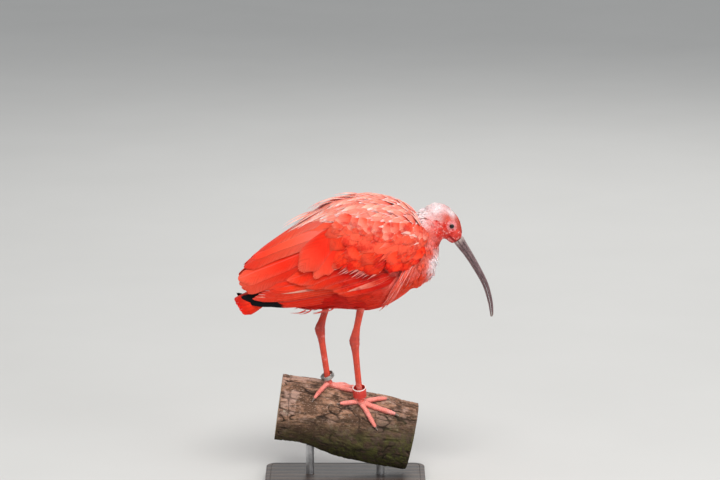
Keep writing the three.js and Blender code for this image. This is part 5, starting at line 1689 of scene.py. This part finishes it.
def build_ring(side, kind, ring, bevel, build):
    """A band round a leg: a square section spun round, with rounded edges, tilted and set in place."""
    inner, outer, height, roll, pitch, rise = ring
    bm = bmesh.new()
    section = ((inner, -0.5), (outer, -0.5), (outer, 0.5), (inner, 0.5))
    corners = [bm.verts.new((r, 0, z * height)) for r, z in section]
    for a, b in zip(corners, corners[1:] + corners[:1]):
        bm.edges.new((a, b))
    round_once = {"cent": (0, 0, 0), "axis": (0, 0, 1), "angle": 2 * math.pi, "steps": 96, "use_merge": True}
    bmesh.ops.spin(bm, geom=bm.verts[:] + bm.edges[:], **round_once)
    bmesh.ops.remove_doubles(bm, verts=bm.verts, dist=0.001)
    sharp = [e for e in bm.edges if len(e.link_faces) == 2 and e.calc_face_angle(0) > 1.2]
    bmesh.ops.bevel(bm, geom=sharp, offset=bevel, segments=4, profile=0.5, affect="EDGES", material=-1)
    bmesh.ops.recalc_face_normals(bm, faces=bm.faces)
    rise_at = [v.co.z / height + 0.5 for v in bm.verts]
    turn_at = [math.atan2(v.co.y, v.co.x) for v in bm.verts]
    _, _, hub, heel, _ = footing(side)
    centre = mix(hub, heel, (rise - HUB_HEIGHT) / np.linalg.norm(heel - hub))
    turned = Matrix.Rotation(-roll * DEG, 4, "Y") @ Matrix.Rotation(pitch * DEG, 4, "X")
    bmesh.ops.transform(bm, matrix=Matrix.Translation(centre) @ turned, verts=bm.verts)
    ob = from_bmesh(f"leg_ring_{kind}", bm)
    put_attributes(ob.data, {"rise": rise_at, "turn": turn_at})
    finish_piece(ob, [f"ring_{side}"], surface_material(f"Ring {kind}", build))


def build_rings():
    def plastic(tree):
        where, rise = place_of(tree), attribute(tree, "rise")
        worn = noise(where, 160.0, 5.0, 0.7)
        scuffs = noise(stretched(where, 1, 1, 0.25), 700.0, 4.0, 0.7)
        edge = calc("MAXIMUM", ramp(rise, 0.9, 0.97), ramp(rise, 0.035, 0.0, 0.0, 0.6))
        base = mottled((*shade("ring"), 1), where, 90.0, 0.12)
        chalky = ramp(worn, 0.54, 0.66) * ramp(scuffs, 0.45, 0.6) * 0.8
        return {
            "Base Color": blend(edge, blend(chalky, base, (0.8, 0.62, 0.58)), (0.85, 0.76, 0.72)),
            "Roughness": ramp(scuffs, 0.3, 0.7, 0.35, 0.6), "Normal": bump(worn, 0.0003, 0.4)
        }

    def metal(tree):
        where = place_of(tree)
        brushed = noise(stretched(where, 1, 1, 14), 300.0, 4.0, 0.7)
        seam = ramp(calc("ABSOLUTE", attribute(tree, "turn") - 1.2), 0.02, 0.05, 1.0, 0.0)
        base = blend(ramp(noise(where, 170.0, 4.0, 0.65), 0.35, 0.65), (0.3, 0.3, 0.29), "metal")
        return {
            "Base Color": blend(seam, base, (0.03, 0.03, 0.03)), "Metallic": 0.9,
            "Roughness": ramp(brushed, 0.3, 0.7, 0.32, 0.55),
            "Normal": bump(brushed - seam * 4.0, 0.0002, 0.5)
        }

    build_ring("left", "metal", METAL_RING, 0.22, metal)
    build_ring("right", "plastic", COLOUR_RING, 0.45, plastic)


def bark_material():
    def build(tree):
        where = place_of(tree)
        height, radial = part_of(where, "Z"), attribute(tree, "radial")
        streak = noise(stretched(where, 0.14, 1, 1), 150.0, 6.0, 0.7, 0.6)
        fine = noise(stretched(where, 0.4, 1, 1), 620.0, 5.0, 0.7)
        patches, lichen = noise(where, 30.0, 6.0, 0.7), noise(where, 95.0, 6.0, 0.7)
        bark = blend(ramp(streak, 0.38, 0.62), (0.06, 0.034, 0.022), "bark")
        bark = blend(ramp(patches, 0.5, 0.4, 0.0, 0.6), bark, (0.56, 0.36, 0.29))
        bark = blend(ramp(patches, 0.5, 0.6, 0.0, 0.85), bark, (0.1, 0.052, 0.03))
        bark = blend(ramp(fine, 0.54, 0.68, 0.0, 0.75), bark, (0.56, 0.4, 0.32))
        bark = blend(ramp(fine, 0.46, 0.34, 0.0, 0.6), bark, (0.04, 0.022, 0.014))
        spots = ramp(lichen, 0.6, 0.66) * ramp(patches, 0.52, 0.42)
        bark = blend(spots * 0.7, bark, (0.42, 0.4, 0.3))
        # Darker towards the bottom of the branch: painted shade on its underside.
        bark = blend(ramp(height + lichen * 0.05, 0.15, 0.11, 0.0, 0.7), bark, (0.05, 0.028, 0.016))
        # Near black in the fissures and the knot's hollow: painted shade.
        bark = blend(attribute(tree, "fissure") * 0.9, bark, (0.014, 0.008, 0.006))
        # Low on the branch the bark turns to moss, its own colour; where the lichen noise is low it goes near
        # black, which is painted shade.
        low = ramp(height + patches * 0.07, 0.16, 0.085)
        green = blend(ramp(lichen, 0.4, 0.62), (0.016, 0.014, 0.008), "moss")
        bark = blend(low * ramp(lichen, 0.3, 0.55, 0.45, 0.95), bark, green)
        rings = calc("SINE", calc("MULTIPLY_ADD", noise(where, 22.0, 3.0), 0.12, radial) * 130.0)
        wood = blend(ramp(rings, -0.6, 0.9), (0.46, 0.3, 0.17), (0.62, 0.46, 0.3))
        wood = blend(ramp(radial, 0.35, 0.0, 0.0, 0.35), wood, (0.22, 0.11, 0.06))
        wood = blend(ramp(radial, 0.93, 0.96), wood, (0.09, 0.055, 0.035))
        return {
            "Base Color": blend(attribute(tree, "sawn"), bark, wood),
            "Roughness": ramp(fine, 0.2, 0.8, 0.8, 0.95), "Specular IOR Level": 0.25,
            "Normal": bump(streak + patches + fine * 0.8, 0.0012, 0.9)
        }

    return surface_material("Bark", build)


def build_branch():
    """Cut branch: one closed sheet of bark and both sawn ends, with fissures pressed in."""
    depth = bpy.context.scene.ibis_sizes.bark_depth / MM
    cap, rows, columns = 14, 210, 350
    bm = bmesh.new()
    bmesh.ops.create_grid(bm, x_segments=rows + 2 * cap, y_segments=columns, size=1)
    ob = from_bmesh("bark", bm, 1.0)
    flat = mesh_points(ob.data) * MM
    u = (flat[:, 0] + 1) / 2 * (rows + 2 * cap)
    turn = (flat[:, 1] + 1) * math.pi
    x = mix(-98.0, 98.0, np.clip((u - cap) / rows, 0, 1))
    share = np.clip(np.minimum(u, rows + 2 * cap - u) / cap, 0, 1)
    # every place on the sheet reads the noise in a frame that runs with the grain
    ring = np.stack([np.cos(turn), np.sin(turn)], axis=-1) * BRANCH_RADIUS
    here = np.column_stack([x, ring])
    warp = 5 * lumps(here, 26, 1)
    grain = np.column_stack([x * 0.3 + warp, ring + 0.5 * warp[:, None]])
    fissure = step(0.78, 0.99, 1 - np.abs(lumps(grain, 6.2, 2)) * 1.3) * step(-0.35, 0.25, lumps(here, 17, 4))
    crack = step(0.84, 1.0, 1 - np.abs(lumps(here * [0.8, 0.5, 0.5], 9, 6)))
    fissure = np.maximum(fissure, 0.8 * crack * step(0.0, 0.5, lumps(here, 21, 5)))
    fine = 1 - np.abs(lumps(grain * [1.6, 1, 1], 2.6, 3)) * 1.5
    plates = step(-0.08, 0.08, lumps(grain, 8.5, 7)) + 0.7 * step(-0.08, 0.08, lumps(grain, 5.1, 17))
    dent = depth * (0.7 * fissure + 0.2 * step(0.4, 1, fine) + 0.14 * plates)
    dent = dent + 0.35 * np.abs(lumps(here, 2.0, 9)) + 0.4 * np.abs(lumps(here, 14, 12))
    off = np.hypot(x - KNOT[0], (turn - KNOT[1]) * BRANCH_RADIUS) + 0.8 * lumps(here, 6, 33)
    knot = bell(off, 4.6)
    dent = dent + 3.4 * knot - 1.3 * bell(off - 8.5, 3)
    # The knot's hollow joins the fissures, so it takes the same painted shade.
    fissure = np.maximum(fissure, 0.95 * knot)
    for name in LEGS:
        foot_x, foot_turn, *_ = footing(name)
        off = np.hypot(x - foot_x, np.angle(np.exp(1j * (turn - foot_turn))) * BRANCH_RADIUS)
        dent = dent * (1 - 0.75 * bell(off, 34))
    heart = np.stack([x, np.full_like(x, BRANCH_SIDE), smooth_value(BRANCH_AXIS, 1, x)], axis=-1)
    points = heart + (branch_point(x, turn, -dent) - heart) * share[:, None]
    sawn = share < 0.999
    rough = 0.25 * np.abs(lumps(points * [1, 0.25, 1], 1.6, 15)) + 0.1
    points[:, 0] += np.where(sawn, np.where(u < cap, 1.0, -1.0) * rough, 0)
    set_points(ob.data, points)
    put_attributes(
        ob.data, {"fissure": np.where(sawn, 0, fissure), "radial": share, "sawn": sawn.astype(float)}
    )

    def close(bm):
        bmesh.ops.remove_doubles(bm, verts=bm.verts, dist=0.00001)
        bmesh.ops.recalc_face_normals(bm, faces=bm.faces)

    rework(ob.data, close)
    finish_piece(ob, ["perch_log"], bark_material())


def build_base():
    """Stained board with rounded corners, eased edges and a fine groove near its rim."""
    corner, ease = 16, 2
    low, high = (np.array(c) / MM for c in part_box("stand_base"))
    bm = bmesh.new()
    place = Matrix.Translation((low + high) / 2) @ Matrix.Diagonal((*(high - low), 1))
    bmesh.ops.create_cube(bm, size=1, matrix=place)
    rounding = {"profile": 0.5, "affect": "EDGES", "material": -1}
    upright = [e for e in bm.edges if abs(e.verts[0].co.z - e.verts[1].co.z) > 1]
    bmesh.ops.bevel(bm, geom=upright, offset=corner, segments=12, **rounding)
    top = max(bm.faces, key=lambda f: f.calc_center_median().z)
    bmesh.ops.inset_region(bm, faces=[top], thickness=7, depth=0)
    strip = bmesh.ops.inset_region(bm, faces=[top], thickness=1.2, depth=0)["faces"]
    bmesh.ops.inset_region(bm, faces=strip, thickness=0.35, depth=-0.7)

    def on_rim(edge):
        flat = all(abs(v.co.z - high[2]) < 1e-4 for v in edge.verts)
        co = edge.verts[0].co
        near = min(abs(co[k] - side[k]) for k in (0, 1) for side in (low, high)) < corner + 0.5
        return flat and near and edge.calc_face_angle(0) > 1.2

    bmesh.ops.bevel(bm, geom=[e for e in bm.edges if on_rim(e)], offset=ease, segments=4, **rounding)
    bmesh.ops.recalc_face_normals(bm, faces=bm.faces)
    ob = from_bmesh("base_board", bm)

    def build(tree):
        where = place_of(tree)
        warp = noise(stretched(where, 0.3, 1, 1), 18.0, 3.0)
        bands = calc("SINE", calc("MULTIPLY_ADD", warp, 9.0, part_of(where, "Y") * 330.0))
        pores = noise(stretched(where, 0.07, 1, 1), 700.0, 4.0, 0.7)
        wood = blend(ramp(bands, -0.8, 0.9), shade("wood", 0.6), (0.07, 0.038, 0.022))
        return {
            "Base Color": blend(ramp(pores, 0.56, 0.7, 0.0, 0.7), wood, (0.008, 0.005, 0.004)),
            "Roughness": ramp(pores, 0.3, 0.7, 0.34, 0.5), "Coat Weight": 0.25, "Coat Roughness": 0.2,
            "Normal": bump(bands - pores * 3.0, 0.00012, 0.6)
        }

    finish_piece(ob, ["stand_base"], surface_material("Base wood", build), smooth=False)


def dress_rods():
    def build(tree):
        where = place_of(tree)
        brushed = noise(stretched(where, 1, 1, 0.05), 900.0, 3.0, 0.7)
        return {
            "Base Color": blend(ramp(noise(where, 60.0), 0.3, 0.7), (0.36, 0.36, 0.37), (0.6, 0.6, 0.61)),
            "Metallic": 1.0, "Roughness": ramp(brushed, 0.3, 0.7, 0.25, 0.45),
            "Normal": bump(brushed, 0.0001, 0.4)
        }

    for name in ("stand_rod_rear", "stand_rod_front"):
        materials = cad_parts[name].data.materials
        materials.clear()
        materials.append(surface_material("Rod steel", build))


def build_stage():
    """Pale floor, soft lights, world and camera."""
    scene = bpy.context.scene
    bm = bmesh.new()
    bmesh.ops.create_grid(bm, x_segments=8, y_segments=8, size=30)
    floor = from_bmesh("floor", bm, 1.0)
    scene.collection.objects.link(floor)

    def build(tree):
        pale = blend(noise(place_of(tree), 3.0), (0.58, 0.58, 0.57), (0.62, 0.62, 0.61))
        return {"Base Color": pale, "Roughness": 0.9, "Specular IOR Level": 0.2}

    floor.data.materials.append(surface_material("Floor", build))
    for name, place, size, power, tone in (
        ("key", (0.1, -2.0, 3.2), 1.5, 93, (1, 0.97, 0.93)),
        ("fill", (2.6, -2.6, 1.6), 2.2, 42, (0.97, 0.98, 1)),
        ("back", (0.6, 2.6, 2.4), 1.8, 34, (1, 0.98, 0.95))
    ):
        light = bpy.data.lights.new(name, "AREA")
        light.shape, light.size = "DISK", size
        light.energy, light.color = power, tone
        ob = bpy.data.objects.new(name, light)
        ob.location = place
        ob.rotation_euler = (Vector((0, 0, 0.3)) - Vector(place)).to_track_quat("-Z", "Y").to_euler()
        scene.collection.objects.link(ob)
    scene.world = bpy.data.worlds.new("Studio")
    scene.world.use_nodes = True
    sky = scene.world.node_tree.nodes["Background"]
    sky.inputs["Color"].default_value = (0.96, 0.98, 1, 1)
    sky.inputs["Strength"].default_value = 0.5
    scene.view_settings.view_transform = "Standard"
    camera = bpy.data.objects.new("camera", bpy.data.cameras.new("camera"))
    camera.data.sensor_width, camera.data.lens, camera.data.clip_end = 36, 155.17, 100
    tilt, distance = 12 * DEG, 4.5
    target = np.array([21.75, 0, 371.1]) * MM
    camera.location = target + distance * np.array([0, -math.cos(tilt), math.sin(tilt)])
    camera.rotation_euler = (math.pi / 2 - tilt, 0, 0)
    scene.collection.objects.link(camera)
    scene.camera = camera


# Operators


class IBIS_OT_stage(bpy.types.Operator):
    """Pale floor, soft lights and the camera"""

    bl_idname = "ibis.stage"
    bl_label = "Stage"

    def execute(self, context):
        build_stage()
        return {"FINISHED"}


class IBIS_OT_stand(bpy.types.Operator):
    """Stained base board and steel rods"""

    bl_idname = "ibis.stand"
    bl_label = "Stand"

    def execute(self, context):
        build_base()
        dress_rods()
        return {"FINISHED"}


class IBIS_OT_branch(bpy.types.Operator):
    """Cut branch with fissured, mossy bark"""

    bl_idname = "ibis.branch"
    bl_label = "Branch"

    def execute(self, context):
        build_branch()
        return {"FINISHED"}


class IBIS_OT_legs(bpy.types.Operator):
    """Scaled skin of both legs and their claws"""

    bl_idname = "ibis.legs"
    bl_label = "Legs"

    def execute(self, context):
        for name in LEGS:
            build_leg(name)
            build_claws(name)
        return {"FINISHED"}


class IBIS_OT_rings(bpy.types.Operator):
    """Metal and plastic leg rings"""

    bl_idname = "ibis.rings"
    bl_label = "Leg rings"

    def execute(self, context):
        build_rings()
        return {"FINISHED"}


class IBIS_OT_head(bpy.types.Operator):
    """Eyeballs and both halves of the bill"""

    bl_idname = "ibis.head"
    bl_label = "Eyes and bill"

    def execute(self, context):
        build_eyes()
        build_bill()
        return {"FINISHED"}


class IBIS_OT_skin(bpy.types.Operator):
    """One skin over body, neck and head"""

    bl_idname = "ibis.skin"
    bl_label = "Skin"

    def execute(self, context):
        build_skin()
        return {"FINISHED"}


class IBIS_OT_coat(bpy.types.Operator):
    """Small feathers all over the skin"""

    bl_idname = "ibis.coat"
    bl_label = "Small feathers"

    def execute(self, context):
        build_coat(bpy.data.objects["skin"])
        return {"FINISHED"}


class IBIS_OT_wings(bpy.types.Operator):
    """Both folded wings, tier by tier"""

    bl_idname = "ibis.wings"
    bl_label = "Wings"

    def execute(self, context):
        build_wing(RIGHT)
        build_wing(LEFT)
        return {"FINISHED"}


class IBIS_OT_plumes(bpy.types.Operator):
    """Long feathers of the mantle, the breast and the tail"""

    bl_idname = "ibis.plumes"
    bl_label = "Mantle, breast and tail"

    def execute(self, context):
        build_mantle()
        build_hackles()
        build_tail()
        return {"FINISHED"}


STEPS = (
    IBIS_OT_stage, IBIS_OT_stand, IBIS_OT_branch, IBIS_OT_legs, IBIS_OT_rings, IBIS_OT_head, IBIS_OT_skin,
    IBIS_OT_coat, IBIS_OT_wings, IBIS_OT_plumes
)


class IBIS_PT_panel(bpy.types.Panel):
    """Sizes, colours and steps of the ibis"""

    bl_idname = "IBIS_PT_panel"
    bl_label = "Scarlet ibis"
    bl_space_type = "VIEW_3D"
    bl_region_type = "UI"
    bl_category = "Ibis"

    def draw(self, context):
        for made in STEPS:
            self.layout.operator(made.bl_idname)
        for values in (context.scene.ibis_sizes, context.scene.ibis_colours):
            for key in values.__annotations__:
                self.layout.prop(values, key)


CLASSES = (IbisSizes, IbisColours, *STEPS, IBIS_PT_panel)


def register():
    for made in CLASSES:
        bpy.utils.register_class(made)
    bpy.types.Scene.ibis_sizes = PointerProperty(type=IbisSizes)
    bpy.types.Scene.ibis_colours = PointerProperty(type=IbisColours)


def unregister():
    del bpy.types.Scene.ibis_colours
    del bpy.types.Scene.ibis_sizes
    for made in reversed(CLASSES):
        bpy.utils.unregister_class(made)


def main():
    register()
    for made in STEPS:
        getattr(bpy.ops.ibis, made.bl_idname.split(".")[1])()


if __name__ == "__main__":
    main()
